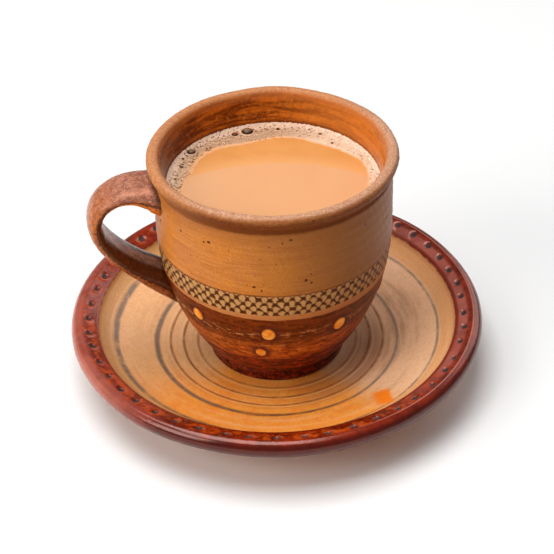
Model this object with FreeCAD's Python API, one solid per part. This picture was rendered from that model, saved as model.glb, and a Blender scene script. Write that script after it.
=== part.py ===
"""Stoneware cup of masala chai on its saucer, in millimetres.

The saucer's foot stands on z = 0, the cup stands in the saucer's well, and
the cup's handle points along -X. The origin is under the middle of the saucer.
"""
import FreeCAD, Part
import math
import os

from FreeCAD import Vector

# Saucer
saucer_radius = 75.0          # over the rolled rim
saucer_height = 22.0          # from the foot to the top of the rolled rim
rim_roll_radius = 3.3         # round roll at the edge
rim_band_width = 6.4          # sloping band from the roll's middle to its inner edge
rim_band_drop = 2.4           # how far the band's inner edge lies under the rim's top
rim_step_drop = 1.5           # small step from the band down into the well
rim_step_run = 0.5
well_floor_height = 6.5       # top of the flat on which the cup stands
cup_stand_clearance = 1.9     # flat of the well left round the cup's foot
well_shoulder_width = 5.4     # steeper stretch between the well and the step
well_shoulder_rise = 4.5
well_bend = 2.12              # how late the well starts to climb
saucer_thickness = 4.3
foot_ring_radius = 43.5       # outside of the foot ring
foot_ring_width = 5.0
foot_ring_edge = 0.8          # chamfer where the ring meets the table
saucer_recess = 2.2           # hollow inside the foot ring
stamp_count = 50              # dents pressed into the rim band
stamp_circle_radius = 69.8
stamp_ball_radius = 2.6       # ball that presses each dent
stamp_depth = 0.7

# Cup
cup_height = 83.1
cup_body_radius = 41.3        # widest part of the wall
cup_belly_height = 56.0       # where the wall reaches its widest
cup_belly_power = 2.2         # how round the lower wall is
cup_neck_radius = 41.1        # under the lip
cup_wall = 4.4
cup_floor = 6.0
cup_floor_corner = 8.0        # height of the round corner between wall and floor
cup_floor_corner_width = 6.0
lip_inner_blend = 6.0         # the lip's inner side runs into the wall over this height
lip_radius = 43.05            # outside of the rolled lip
lip_roll_radius = 2.2
lip_neck_drop = 5.7           # the roll's underside meets the wall this far down
cup_foot_radius = 25.1
cup_foot_height = 4.8
cup_foot_taper = 0.4
cup_foot_groove = 0.5         # groove between the foot and the body
cup_foot_edge = 0.8           # chamfer on the foot ring
cup_foot_ring_width = 5.2
cup_foot_recess = 1.4
body_start_step = 0.9         # the body stands out this far over the foot
body_start_rise = 1.2

# Handle, a flat strap
handle_reach = 21.5           # from the wall to the strap's middle, at its furthest
handle_top_drop = 11.9        # middle of the upper joint, under the lip's top
handle_drop = 36.8            # from the upper joint down to the lower one
strap_width = 16.0
strap_thickness = 5.0
upper_joint_width = 20.0
upper_joint_thickness = 13.0
lower_joint_width = 17.0
lower_joint_thickness = 11.0
strap_stations = 16

# Drink
froth_top_below_lip = 12.1
froth_thickness = 0.7
froth_width = 5.9             # mean width of the froth ring
froth_waves = (               # waves round the ring, size in mm, turn in degrees
    (1, 3.9, -87.0),
    (2, 0.8, 21.0),
    (3, 0.35, -16.0),
    (5, 0.35, -54.0),
    (6, 0.75, 70.0),
)
froth_outline_points = 48

# Where the strap's middle runs: (share of the reach, share of the drop)
STRAP_ROUTE = (
    (-0.12, 0.0),
    (0.11, -0.04),
    (0.36, -0.068),
    (0.635, -0.045),
    (0.88, 0.05),
    (1.0, 0.205),
    (0.99, 0.36),
    (0.865, 0.51),
    (0.665, 0.66),
    (0.43, 0.795),
    (0.185, 0.905),
    (-0.04, 0.995),
    (-0.265, 1.075),
)

AXIS = Vector(0, 0, 1)
ORIGIN = Vector(0, 0, 0)


def point(radius, height):
    """A point of a turned profile, in the XZ plane."""
    return Vector(radius, 0, height)


def line(start, end):
    return Part.LineSegment(start, end).toShape()


def curve(points):
    """A smooth edge through the points."""
    spline = Part.BSplineCurve()
    spline.interpolate(points)
    return spline.toShape()


def arc(centre, radius, first, middle, last):
    """An arc of the XZ plane through three angles, in degrees from +X."""
    places = []
    for angle in (first, middle, last):
        turn = math.radians(angle)
        places.append(centre + Vector(radius * math.cos(turn), 0, radius * math.sin(turn)))
    return Part.Arc(*places).toShape()


def chain(points):
    """Straight edges from point to point."""
    return [line(points[i], points[i + 1]) for i in range(len(points) - 1)]


def turned(edges):
    """The closed outline turned once about Z."""
    solid = Part.Face(Part.Wire(Part.__sortEdges__(edges))).revolve(ORIGIN, AXIS, 360)
    return Part.Solid(solid.Shells[0]) if solid.ShapeType != "Solid" else solid


def end_of(edge, last=True):
    """The start or end point of an edge, in the order that it was drawn."""
    return edge.valueAt(edge.LastParameter if last else edge.FirstParameter)


# ---------------------------------------------------------------- saucer

well_flat_radius = cup_foot_radius + cup_stand_clearance
roll_centre = point(saucer_radius - rim_roll_radius, saucer_height - rim_roll_radius)
band_inner = point(roll_centre.x - rim_band_width, saucer_height - rim_band_drop)
step_foot = point(band_inner.x - rim_step_run, band_inner.z - rim_step_drop)
shoulder = point(step_foot.x - well_shoulder_width, step_foot.z - well_shoulder_rise)


def band_tangent_angle():
    """Angle on the roll where a line from the band's inner edge touches it."""
    away = band_inner - roll_centre
    direction = math.degrees(math.atan2(away.z, away.x))
    return direction - math.degrees(math.acos(rim_roll_radius / away.Length))


def well_height(radius):
    """Height of the well: flat, then a slow climb, then a steeper shoulder up to the step."""
    run = shoulder.x - well_flat_radius
    rise = shoulder.z - well_floor_height
    if radius <= shoulder.x:
        return well_floor_height + rise * max(0.0, (radius - well_flat_radius) / run) ** well_bend
    slope = rise * well_bend / run
    beyond = radius - shoulder.x
    bend = (well_shoulder_rise - slope * well_shoulder_width) / well_shoulder_width ** 2
    return shoulder.z + slope * beyond + bend * beyond ** 2


def saucer_body():
    radii = [well_flat_radius + (shoulder.x - well_flat_radius) * i / 5 for i in range(6)]
    radii += [shoulder.x + well_shoulder_width / 2, step_foot.x]
    well = curve([point(r, well_height(r)) for r in radii])
    roll = arc(roll_centre, rim_roll_radius, band_tangent_angle(), 20, -65)

    ring_outer = foot_ring_radius
    ring_inner = foot_ring_radius - foot_ring_width
    under_start = ring_outer + foot_ring_edge
    under_radii = [under_start + (step_foot.x - under_start) * i / 3 for i in range(3, -1, -1)]
    under = curve([point(r, well_height(r) - saucer_thickness) for r in under_radii])
    edges = [line(point(0, well_floor_height), end_of(well, last=False)), well]
    edges += chain([end_of(well), band_inner, end_of(roll, last=False)]) + [roll]
    edges += [line(end_of(roll), end_of(under, last=False)), under]
    edges += chain([
        end_of(under),
        point(ring_outer, saucer_recess),
        point(ring_outer, foot_ring_edge),
        point(ring_outer - foot_ring_edge, 0),
        point(ring_inner + foot_ring_edge, 0),
        point(ring_inner, foot_ring_edge),
        point(ring_inner, saucer_recess),
        point(0, saucer_recess),
        point(0, well_floor_height),
    ])
    return turned(edges)


def stamp_tool():
    """One ball set over the band so that its underside presses to the full depth."""
    touch = math.radians(band_tangent_angle())
    tangent = roll_centre + Vector(math.cos(touch), 0, math.sin(touch)) * rim_roll_radius
    slope = (tangent.z - band_inner.z) / (tangent.x - band_inner.x)
    surface = band_inner.z + slope * (stamp_circle_radius - band_inner.x)
    normal = Vector(-slope, 0, 1).normalize()
    centre = point(stamp_circle_radius, surface) + normal * (stamp_ball_radius - stamp_depth)
    return Part.makeSphere(stamp_ball_radius, centre)


def saucer():
    balls = []
    for i in range(stamp_count):
        ball = stamp_tool()
        ball.rotate(ORIGIN, AXIS, 360.0 * i / stamp_count)
        balls.append(ball)
    return saucer_body().cut(balls)


# ------------------------------------------------------------------- cup

body_start = point(cup_foot_radius + body_start_step, cup_foot_height + body_start_rise)
lip_centre = point(lip_radius - lip_roll_radius, cup_height - lip_roll_radius)
neck = point(cup_neck_radius, cup_height - lip_neck_drop)


def wall_point(height):
    """Outer wall: a round rise to the widest part, then nearly straight to the neck."""
    if height <= cup_belly_height:
        share = (height - body_start.z) / (cup_belly_height - body_start.z)
        grown = 1 - (1 - share) ** cup_belly_power
        return point(body_start.x + (cup_body_radius - body_start.x) * grown, height)
    share = (height - cup_belly_height) / (neck.z - cup_belly_height)
    return point(cup_body_radius + (neck.x - cup_body_radius) * share, height)


def inner_point(height):
    """Inner wall: the outer wall moved inwards by the wall's thickness."""
    step = 0.5
    along = wall_point(height + step) - wall_point(height)
    inward = Vector(-along.z, 0, along.x).normalize()
    return wall_point(height) + inward * cup_wall


def outer_wall():
    heights = [body_start.z + (cup_belly_height - body_start.z) * i / 7 for i in range(8)]
    heights += [(cup_belly_height + neck.z) / 2, neck.z]
    return curve([wall_point(z) for z in heights])


def inner_wall():
    """From the lip's inner side down to the floor of the cup."""
    top = neck.z - lip_inner_blend
    bottom = cup_floor + cup_floor_corner
    heights = [top + (bottom - top) * i / 6 for i in range(7)]
    points = [end_of(lip_arc())] + [inner_point(z) for z in heights]
    return curve(points + [point(points[-1].x - cup_floor_corner_width, cup_floor)])


def lip_arc():
    return arc(lip_centre, lip_roll_radius, -40, 70, 180)


def cavity():
    """The space inside the cup, closed at the top of the lip."""
    inside = inner_wall()
    top = point(lip_centre.x - lip_roll_radius, cup_height)
    edges = [inside] + chain([
        end_of(inside),
        point(0, cup_floor),
        point(0, cup_height),
        top,
        end_of(inside, last=False),
    ])
    return turned(edges)


def strap_route():
    """The line of the strap's middle, in the XZ plane, as one smooth curve."""
    top = cup_height - handle_top_drop
    top_wall = wall_point(top).x
    low_wall = wall_point(top - handle_drop).x
    points = []
    for reach_share, drop_share in STRAP_ROUTE:
        wall = top_wall + (low_wall - top_wall) * drop_share
        points.append(point(-wall - handle_reach * reach_share, top - handle_drop * drop_share))
    spline = Part.BSplineCurve()
    spline.interpolate(points)
    return spline


def flare(share, start, middle, end):
    """A size that falls from start to middle, stays, and grows to end at the far joint."""
    near = max(0.0, 1 - share / 0.22) ** 1.6
    far = max(0.0, (share - 0.75) / 0.25) ** 1.6
    return middle + (start - middle) * near + (end - middle) * far


def handle():
    """A strap through oval sections that stand square to its route."""
    route = strap_route()
    sections = []
    for i in range(strap_stations):
        share = i / (strap_stations - 1)
        place = route.value(route.FirstParameter + share * (route.LastParameter - route.FirstParameter))
        along = route.tangent(route.parameter(place))[0]
        width = flare(share, upper_joint_width, strap_width, lower_joint_width)
        thickness = flare(share, upper_joint_thickness, strap_thickness, lower_joint_thickness)
        across = Vector(0, 1, 0)
        oval = Part.Ellipse(
            place + across * (width / 2),
            place + along.cross(across).normalize() * (thickness / 2),
            place,
        )
        sections.append(Part.Wire([oval.toShape()]))
    return Part.makeLoft(sections, True, False)


def cup():
    outside = outer_wall()
    lip = lip_arc()
    inside = inner_wall()
    ring_inner = cup_foot_radius - cup_foot_taper - cup_foot_ring_width
    bottom = cup_foot_radius - cup_foot_taper
    edges = chain([
        point(0, cup_floor),
        point(0, cup_foot_recess),
        point(ring_inner, cup_foot_recess),
        point(ring_inner + cup_foot_edge, 0),
        point(bottom - cup_foot_edge, 0),
        point(bottom, cup_foot_edge),
        point(cup_foot_radius, cup_foot_height - cup_foot_groove),
        point(cup_foot_radius - cup_foot_groove, cup_foot_height),
        end_of(outside, last=False),
    ])
    edges += [outside, line(end_of(outside), end_of(lip, last=False)), lip, inside]
    edges += [line(end_of(inside), point(0, cup_floor))]
    body = turned(edges)
    return body.fuse(handle().cut(cavity()))


# ----------------------------------------------------------------- drink

froth_top = cup_height - froth_top_below_lip
drink_level = froth_top - froth_thickness


def slab(low, high):
    """A wide disc between two heights."""
    return Part.makeCylinder(lip_radius, high - low, point(0, low))


def froth_inner_radius(angle):
    """Inner edge of the froth: a circle with a few gentle waves."""
    radius = inner_point(froth_top).x - froth_width
    for waves, size, turn in froth_waves:
        radius += size * math.cos(waves * angle - math.radians(turn))
    return radius


def froth():
    points = []
    for i in range(froth_outline_points):
        angle = 2 * math.pi * i / froth_outline_points
        radius = froth_inner_radius(angle)
        points.append(Vector(radius * math.cos(angle), radius * math.sin(angle), drink_level - 1))
    spline = Part.BSplineCurve()
    spline.interpolate(points, PeriodicFlag=True)
    gap = Part.Face(Part.Wire([spline.toShape()])).extrude(AXIS * (froth_thickness + 2))
    return cavity().common(slab(drink_level, froth_top)).cut(gap)


def chai():
    return cavity().common(slab(0, drink_level))


def main():
    os.makedirs("parts", exist_ok=True)
    on_saucer = AXIS * well_floor_height
    pieces = {"saucer": saucer(), "cup": cup(), "chai": chai(), "froth": froth()}
    for name, shape in pieces.items():
        if name != "saucer":
            shape.translate(on_saucer)
        solid = shape.Solids[0]
        print(name, len(shape.Solids), solid.isValid(), round(solid.Volume / 1000, 2), "ml",
              solid.BoundBox)
        solid.exportStep(f"parts/{name}.step")


main()
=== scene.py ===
"""Looks of a stoneware cup of masala chai that stands on its saucer.

Four groups of pieces replace the plain solids of the frame: the saucer, the cup with its handle, the
drink, and the froth with its bubbles. The classes hold their sizes in millimetres, in the part's own
frame, and a mesh becomes metres when it is written.
"""
import logging
import math
from dataclasses import dataclass, field
from enum import Enum
from typing import ClassVar, Union

import bpy
import numpy as np
from mathutils import Matrix, Vector


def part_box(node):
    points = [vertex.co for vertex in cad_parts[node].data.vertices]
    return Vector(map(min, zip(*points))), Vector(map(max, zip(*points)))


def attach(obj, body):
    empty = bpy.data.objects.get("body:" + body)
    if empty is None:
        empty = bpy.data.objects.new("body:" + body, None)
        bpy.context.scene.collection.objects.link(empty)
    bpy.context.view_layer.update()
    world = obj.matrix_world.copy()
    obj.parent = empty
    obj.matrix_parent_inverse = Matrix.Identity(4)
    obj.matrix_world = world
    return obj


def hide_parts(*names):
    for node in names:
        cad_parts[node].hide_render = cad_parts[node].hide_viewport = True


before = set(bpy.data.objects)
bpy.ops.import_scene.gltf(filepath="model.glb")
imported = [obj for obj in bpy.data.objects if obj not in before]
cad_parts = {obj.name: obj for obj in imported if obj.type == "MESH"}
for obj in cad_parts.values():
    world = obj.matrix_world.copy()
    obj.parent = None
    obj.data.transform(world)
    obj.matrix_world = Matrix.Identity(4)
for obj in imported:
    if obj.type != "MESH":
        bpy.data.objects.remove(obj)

log = logging.getLogger("chai")

MM = 0.001
TURN = 2.0 * math.pi
POLE = 0.6  # a profile stops this many millimetres from the axis, and a cap closes it

Array = np.ndarray
Socket = bpy.types.NodeSocket
Colour = tuple[float, float, float, float]
Thing = bpy.types.Object
Number = Union[Socket, float]
Paint = Union[Socket, Colour]


# ------------------------------------------------------------------ helpers

def shade(red: int, green: int, blue: int) -> Colour:
    """Turns a colour on the 0 to 255 display scale into the linear colour that a shader takes.

    Args:
        red, green, blue: the display values.

    Returns:
        The linear colour with an alpha of one.
    """
    display = np.array([red, green, blue]) / 255.0
    linear = np.where(display <= 0.04045, display / 12.92, ((display + 0.055) / 1.055) ** 2.4)
    return (float(linear[0]), float(linear[1]), float(linear[2]), 1.0)


def smooth_step(values: Array, low: float, high: float) -> Array:
    """Rises from 0 at low to 1 at high along 3t^2 - 2t^3, where t is the share of the way.

    Args:
        values: where to work the step out.
        low, high: its two ends; low may be the larger one, which turns the step round.

    Returns:
        The step's values, in the shape of values.
    """
    share = np.clip((values - low) / (high - low), 0.0, 1.0)
    return share * share * (3.0 - 2.0 * share)


def along_points(points: Array, count: int) -> Array:
    """A smooth line through points: a Catmull-Rom spline, sampled evenly in its own parameter.

    Between two points it is the cubic whose slope at each point is half the step between the
    point's two neighbours. The ends repeat their last point.

    Args:
        points: the points, shape (n, d).
        count: how many samples to take.

    Returns:
        The samples, shape (count, d).
    """
    padded = np.vstack([2 * points[0] - points[1], points, 2 * points[-1] - points[-2]])
    place = np.linspace(0.0, len(points) - 1.0, count)
    cell = np.minimum(place.astype(int), len(points) - 2)
    t = (place - cell)[:, None]
    before, start, end, after = (padded[cell + i] for i in range(4))
    return 0.5 * (
        2 * start
        + (end - before) * t
        + (2 * before - 5 * start + 4 * end - after) * t ** 2
        + (3 * start - before - 3 * end + after) * t ** 3
    )


def waves(angle: Array, seed: int, first: int, last: int, size: float) -> Array:
    """A closed uneven line: a sum of cosines with whole numbers of waves and seeded turns.

    Args:
        angle: the angle round the axis, in radians.
        seed: chooses the turns.
        first, last: the fewest and the most waves round the circle.
        size: the usual height of the whole sum.

    Returns:
        The line's values, in the shape of angle.
    """
    random = np.random.default_rng(seed)
    counts = np.arange(first, last + 1)
    turns = random.uniform(0.0, TURN, len(counts))
    weights = random.uniform(0.5, 1.0, len(counts))
    weights *= size / math.sqrt(float(np.sum(weights ** 2)) / 2.0)
    total = np.zeros_like(angle)
    for count, turn, weight in zip(counts, turns, weights):
        total = total + weight * np.cos(count * angle + turn)
    return total


def rough_field(angle: Array, along: Array, seed: int, terms: int, finest: float) -> Array:
    """A closed rough field: a sum of slanted cosines with whole wave counts round the axis.

    Args:
        angle: the angle round the axis, in radians.
        along: the other coordinate, in millimetres.
        seed: chooses the waves.
        terms: how many waves are summed.
        finest: the shortest wave along, in millimetres.

    Returns:
        Values of about -1 to 1.
    """
    random = np.random.default_rng(seed)
    total = np.zeros(np.broadcast(angle, along).shape)
    for _ in range(terms):
        count = random.integers(2, int(TURN * 40.0 / finest))
        length = finest * random.uniform(1.0, 5.0)
        total += np.cos(count * angle + TURN * along / length + random.uniform(0.0, TURN))
    return total / math.sqrt(terms)


@dataclass
class Surface:
    """A surface on a grid: rows run along its profile and columns run round it.

    Attributes:
        name: the name of the piece.
        points: the grid's points in millimetres, shape (rows, columns, 3).
        loop: whether the last row joins the first, as on a ring.
        values: numbers that the finish reads, one array of shape (rows, columns) for each name.
    """

    name: str
    points: Array
    loop: bool = False
    values: dict[str, Array] = field(default_factory=dict)

    def quads(self) -> Array:
        """The grid's four-sided faces, closed round the columns, and round the rows on a loop.

        Returns:
            The faces as numbers of corners, shape (n, 4).
        """
        rows, columns = self.points.shape[:2]
        number = np.arange(rows * columns).reshape(rows, columns)
        if self.loop:
            number = np.vstack([number, number[:1]])
        right = np.roll(number, -1, axis=1)
        corners = (number[:-1], right[:-1], right[1:], number[1:])
        return np.stack(corners, axis=-1).reshape(-1, 4)

    def caps(self) -> tuple[Array, Array]:
        """The middle points of the first and last rows, and the triangles that close them.

        Returns:
            Two points, and triangles of numbers in which the two points follow the grid's.
        """
        rows, columns = self.points.shape[:2]
        middles = np.stack([self.points[0].mean(axis=0), self.points[-1].mean(axis=0)])
        first = np.arange(columns)
        last = first + (rows - 1) * columns
        start = np.full(columns, rows * columns)
        return middles, np.concatenate([
            np.stack([start, np.roll(first, -1), first], axis=-1),
            np.stack([start + 1, last, np.roll(last, -1)], axis=-1),
        ])

    def spread(self, grid: Array) -> Array:
        """One value for each vertex: the grid's own, then one for each of the caps' middle points."""
        return np.concatenate([grid.reshape(-1), grid[0, :1], grid[-1, :1]])

    def build(self) -> Thing:
        """Writes the mesh, facing outwards, with its values as point attributes.

        Returns:
            The new object, which sits at the origin.
        """
        vertices = self.points.reshape(-1, 3)
        faces = [self.quads()]
        if not self.loop:
            middles, triangles = self.caps()
            vertices = np.vstack([vertices, middles])
            faces.append(triangles)
        columns = {name: self.spread(grid)[: len(vertices)] for name, grid in self.values.items()}
        return write_mesh(self.name, vertices, faces, columns)


def enclosed(vertices: Array, faces: list[Array]) -> float:
    """Six times the volume inside the faces, which is negative if they look inwards.

    Each face is cut into triangles from its first corner, and the triple products are summed.

    Args:
        vertices: the points.
        faces: arrays of faces, each with one number of corners.

    Returns:
        The signed sum.
    """
    total = 0.0
    for group in faces:
        for corner in range(1, group.shape[1] - 1):
            a, b, c = (vertices[group[:, i]] for i in (0, corner, corner + 1))
            total += float(np.einsum("ij,ij->", a, np.cross(b, c)))
    return total


def write_mesh(
    name: str, vertices: Array, faces: list[Array], values: dict[str, Array],
) -> Thing:
    """Writes points and faces into a new smooth object in metres.

    Args:
        name: the name of the piece.
        vertices: the points in millimetres, shape (n, 3).
        faces: arrays of faces, each with one number of corners.
        values: point attributes by name.

    Returns:
        The new object.
    """
    if enclosed(vertices, faces) < 0:
        faces = [group[:, ::-1] for group in faces]
    mesh = bpy.data.meshes.new(name)
    listed = [face for group in faces for face in group.tolist()]
    mesh.from_pydata((vertices * MM).tolist(), [], listed)
    mesh.polygons.foreach_set("use_smooth", np.ones(len(listed), dtype=bool))
    for attribute, numbers in values.items():
        layer = mesh.attributes.new(attribute, "FLOAT", "POINT")
        layer.data.foreach_set("value", numbers.astype(np.float32))
    mesh.update()
    thing = bpy.data.objects.new(name, mesh)
    bpy.context.scene.collection.objects.link(thing)
    return thing


def write_copies(shape: Surface, centres: Array, frames: Array, sizes: Array) -> Thing:
    """Writes many copies of one small surface as one mesh.

    Each copy is the shape's points times its size, turned by its frame and moved to its centre.

    Args:
        shape: the surface to repeat, around the origin with +Z outwards. The piece takes its name.
        centres: where the copies go, shape (n, 3), in millimetres.
        frames: the copies' X, Y and Z directions as rows, shape (n, 3, 3).
        sizes: the copies' sizes, shape (n, 3), along their own X, Y and Z.

    Returns:
        The new object.
    """
    middles, triangles = shape.caps()
    template = np.vstack([shape.points.reshape(-1, 3), middles])
    vertices = centres[:, None, :] + (template[None] * sizes[:, None, :]) @ frames
    offsets = (np.arange(len(centres)) * len(template))[:, None, None]
    faces = [(group[None] + offsets).reshape(-1, group.shape[1]) for group in (shape.quads(), triangles)]
    values = {name: np.tile(shape.spread(grid), len(centres)) for name, grid in shape.values.items()}
    return write_mesh(shape.name, vertices.reshape(-1, 3), faces, values)


def turned(radius: Array, height: Array, columns: int) -> tuple[Array, Array]:
    """Turns a profile about Z: x = r cos a, y = r sin a, z = h.

    Args:
        radius, height: the profile, each of shape (rows,) or (rows, columns).
        columns: how many steps round the axis.

    Returns:
        The grid of points, and the angle of each column.
    """
    angle = np.arange(columns) * TURN / columns
    radius = np.broadcast_to(radius.reshape(len(radius), -1), (len(radius), columns))
    height = np.broadcast_to(height.reshape(len(height), -1), (len(height), columns))
    return np.stack([radius * np.cos(angle), radius * np.sin(angle), height], axis=-1), angle


# ----------------------------------------------------------------- finishes

class Recipe:
    """The node tree of one finish, with a short call for each kind of node that the finishes use."""

    def __init__(self, name: str) -> None:
        """Makes the material with its shader and output.

        Args:
            name: the material's name.
        """
        self.material = bpy.data.materials.new(name)
        self.material.use_nodes = True
        self.tree = self.material.node_tree
        self.tree.nodes.clear()
        self.shader = self.tree.nodes.new("ShaderNodeBsdfPrincipled")
        output = self.tree.nodes.new("ShaderNodeOutputMaterial")
        self.tree.links.new(self.shader.outputs["BSDF"], output.inputs["Surface"])
        coordinates = self.tree.nodes.new("ShaderNodeTexCoord")
        scale = self.tree.nodes.new("ShaderNodeVectorMath")
        scale.operation = "SCALE"
        scale.inputs["Scale"].default_value = 1.0 / MM
        self.tree.links.new(coordinates.outputs["Object"], scale.inputs[0])
        self.place: Socket = scale.outputs[0]
        parts = self.tree.nodes.new("ShaderNodeSeparateXYZ")
        self.tree.links.new(self.place, parts.inputs[0])
        self.x, self.y, self.z = parts.outputs

    def feed(self, target: Socket, value: Union[Socket, float, Colour]) -> None:
        """Links a socket to the target, or sets the target's own value.

        Args:
            target: the socket.
            value: another node's socket, or a number or colour.
        """
        if isinstance(value, bpy.types.NodeSocket):
            self.tree.links.new(value, target)
        else:
            target.default_value = value

    def set(self, **values: Union[Socket, float, Colour]) -> None:
        """Feeds the shader's inputs; a name's underscores stand for spaces."""
        for name, value in values.items():
            self.feed(self.shader.inputs[name.replace("_", " ")], value)

    def calc(self, operation: str, *values: Number) -> Socket:
        """One Math node.

        Args:
            operation: the node's operation.
            values: its inputs in order.

        Returns:
            The result.
        """
        node = self.tree.nodes.new("ShaderNodeMath")
        node.operation = operation
        for target, value in zip(node.inputs, values):
            self.feed(target, value)
        return node.outputs[0]

    def times(self, first: Number, *others: Number) -> Number:
        """The product of all the values.

        Args:
            first, others: the values.

        Returns:
            The product.
        """
        for other in others:
            first = self.calc("MULTIPLY", first, other)
        return first

    def minus(self, first: Number, second: Number) -> Socket:
        """The first value less the second."""
        return self.calc("SUBTRACT", first, second)

    def plus(self, first: Number, second: Number) -> Socket:
        """The sum of two values."""
        return self.calc("ADD", first, second)

    def rise(self, value: Socket, low: float, high: float, bottom: float = 0.0, top: float = 1.0) -> Socket:
        """A smooth step from bottom at low to top at high; low may be the larger one.

        Args:
            value: what is stepped.
            low, high: where the step starts and ends.
            bottom, top: its results there.

        Returns:
            The step.
        """
        node = self.tree.nodes.new("ShaderNodeMapRange")
        node.interpolation_type = "SMOOTHSTEP"
        if low > high:
            low, high, bottom, top = high, low, top, bottom
        for target, number in zip(node.inputs, (value, low, high, bottom, top)):
            self.feed(target, number)
        return node.outputs[0]

    def scaled(self, value: Socket, low: float, high: float) -> Socket:
        """The value times (high - low), plus low: 0 to 1 becomes low to high."""
        return self.calc("MULTIPLY_ADD", value, high - low, low)

    def near(self, value: Socket, middle: float, spread: float) -> Socket:
        """1 at the middle, fading to 0 at spread to either side."""
        return self.rise(self.calc("ABSOLUTE", self.minus(value, middle)), spread, 0.0)

    def between(self, value: Socket, low: float, high: float, soft: float) -> Socket:
        """1 between low and high and 0 outside, with edges soft wide.

        Args:
            value: what is compared.
            low, high: the two edges.
            soft: the width over which each edge fades.

        Returns:
            The window.
        """
        half = soft / 2
        above = self.rise(value, low - half, low + half)
        return self.times(above, self.rise(value, high + half, high - half))

    def mix(self, share: Number, first: Paint, second: Paint, kind: str = "MIX") -> Socket:
        """One colour Mix node: first where share is 0, second where it is 1.

        Args:
            share: how much of the second is taken.
            first, second: the colours.
            kind: the node's way of blending.

        Returns:
            The mixed colour.
        """
        node = self.tree.nodes.new("ShaderNodeMix")
        node.data_type = "RGBA"
        node.blend_type = kind
        for target, value in zip((node.inputs[0], node.inputs[6], node.inputs[7]), (share, first, second)):
            self.feed(target, value)
        return node.outputs[2]

    def over(
        self, under: Paint, paint: Colour, value: Socket, low: float, high: float, strength: float = 1.0,
    ) -> Socket:
        """Lays a paint over a colour.

        Args:
            under: the colour that it is laid on.
            paint: the paint's own colour.
            value: what decides where the paint lies.
            low, high: the paint starts where the value is low and is full where it is high.
            strength: how far the full paint covers.

        Returns:
            The covered colour.
        """
        return self.mix(self.rise(value, low, high, 0.0, strength), under, paint)

    def stretched(self, across: float, up: float) -> Socket:
        """The place with its horizontal and vertical coordinates scaled apart, for brushed marks.

        Args:
            across, up: the two scales.

        Returns:
            The scaled place.
        """
        node = self.tree.nodes.new("ShaderNodeVectorMath")
        node.operation = "MULTIPLY"
        node.inputs[1].default_value = (across, across, up)
        self.feed(node.inputs[0], self.place)
        return node.outputs[0]

    def noise(
        self, scale: float, detail: float = 3.0, rough: float = 0.5, place: "Socket | None" = None,
        swirl: float = 0.0,
    ) -> Socket:
        """One Noise texture.

        Args:
            scale: waves for each millimetre.
            detail: how many finer layers are added.
            rough: how strong the finer layers are.
            place: the coordinates, or None for the piece's own.
            swirl: how far the noise is bent by itself.

        Returns:
            Its value, about 0.5 in the middle.
        """
        node = self.tree.nodes.new("ShaderNodeTexNoise")
        self.feed(node.inputs["Vector"], place or self.place)
        settings = {"Scale": scale, "Detail": detail, "Roughness": rough, "Distortion": swirl}
        for name, number in settings.items():
            node.inputs[name].default_value = number
        return node.outputs[0]

    def cells(self, scale: float) -> tuple[Socket, Socket]:
        """One Voronoi texture: the distance to the nearest cell's point, and the cell's random colour.

        Args:
            scale: cells for each millimetre.

        Returns:
            The distance and the colour.
        """
        node = self.tree.nodes.new("ShaderNodeTexVoronoi")
        self.feed(node.inputs["Vector"], self.place)
        node.inputs["Scale"].default_value = scale
        return node.outputs["Distance"], node.outputs["Color"]

    def specks(self, scale: float, size: float, share: float) -> Socket:
        """Small round specks: near a cell's point, in the share of the cells whose number is high.

        Args:
            scale: cells for each millimetre.
            size: a speck's radius in cells.
            share: the share of cells that have one.

        Returns:
            1 in a speck and 0 outside.
        """
        distance, colour = self.cells(scale)
        near = self.rise(distance, size, size * 0.55)
        return self.times(near, self.calc("GREATER_THAN", colour, 1.0 - share))

    def value(self, name: str) -> Socket:
        """A point attribute of the piece.

        Args:
            name: the attribute's name.

        Returns:
            Its value.
        """
        node = self.tree.nodes.new("ShaderNodeAttribute")
        node.attribute_name = name
        return node.outputs["Fac"]

    def angle(self) -> Socket:
        """The angle round Z, from -pi to pi, 0 along +X."""
        return self.calc("ARCTAN2", self.y, self.x)

    def length(self, x: Socket, y: Socket) -> Socket:
        """The length of the flat vector (x, y)."""
        return self.calc("SQRT", self.plus(self.times(x, x), self.times(y, y)))

    def along(self, x: Socket, y: Socket, degrees: float) -> Socket:
        """How far the flat vector (x, y) reaches in a direction, in degrees from +X."""
        turn = math.radians(degrees)
        return self.plus(self.times(x, math.cos(turn)), self.times(y, math.sin(turn)))

    def radius(self) -> Socket:
        """The distance from the Z axis, in millimetres."""
        return self.length(self.x, self.y)

    def facing(self, degrees: float) -> Socket:
        """The cosine of the angle between the place and a direction from the axis: 1 on that side."""
        return self.calc("DIVIDE", self.along(self.x, self.y, degrees), self.plus(self.radius(), 0.01))

    def toward(
        self, degrees: float, low: float, high: float, bottom: float = 0.0, top: float = 1.0,
    ) -> Socket:
        """A smooth step of how squarely the place faces a direction: bottom at low and top at high."""
        return self.rise(self.facing(degrees), low, high, bottom, top)

    def bump(self, height: Socket, depth: float, under: "Socket | None" = None) -> Socket:
        """A Bump node.

        Args:
            height: the relief, about 0 to 1.
            depth: how deep 0 to 1 is, in millimetres.
            under: another bump's result to add to.

        Returns:
            The normal.
        """
        node = self.tree.nodes.new("ShaderNodeBump")
        node.inputs["Strength"].default_value = 1.0
        node.inputs["Distance"].default_value = depth * MM
        self.feed(node.inputs["Height"], height)
        if under is not None:
            self.feed(node.inputs["Normal"], under)
        return node.outputs[0]


class Side(Enum):
    """Directions round the cup that the glazes vary towards, in degrees from +X."""

    LEFT = 175.0
    FRONT = -100.0
    RIGHT = -10.0
    BACK = 80.0


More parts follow.
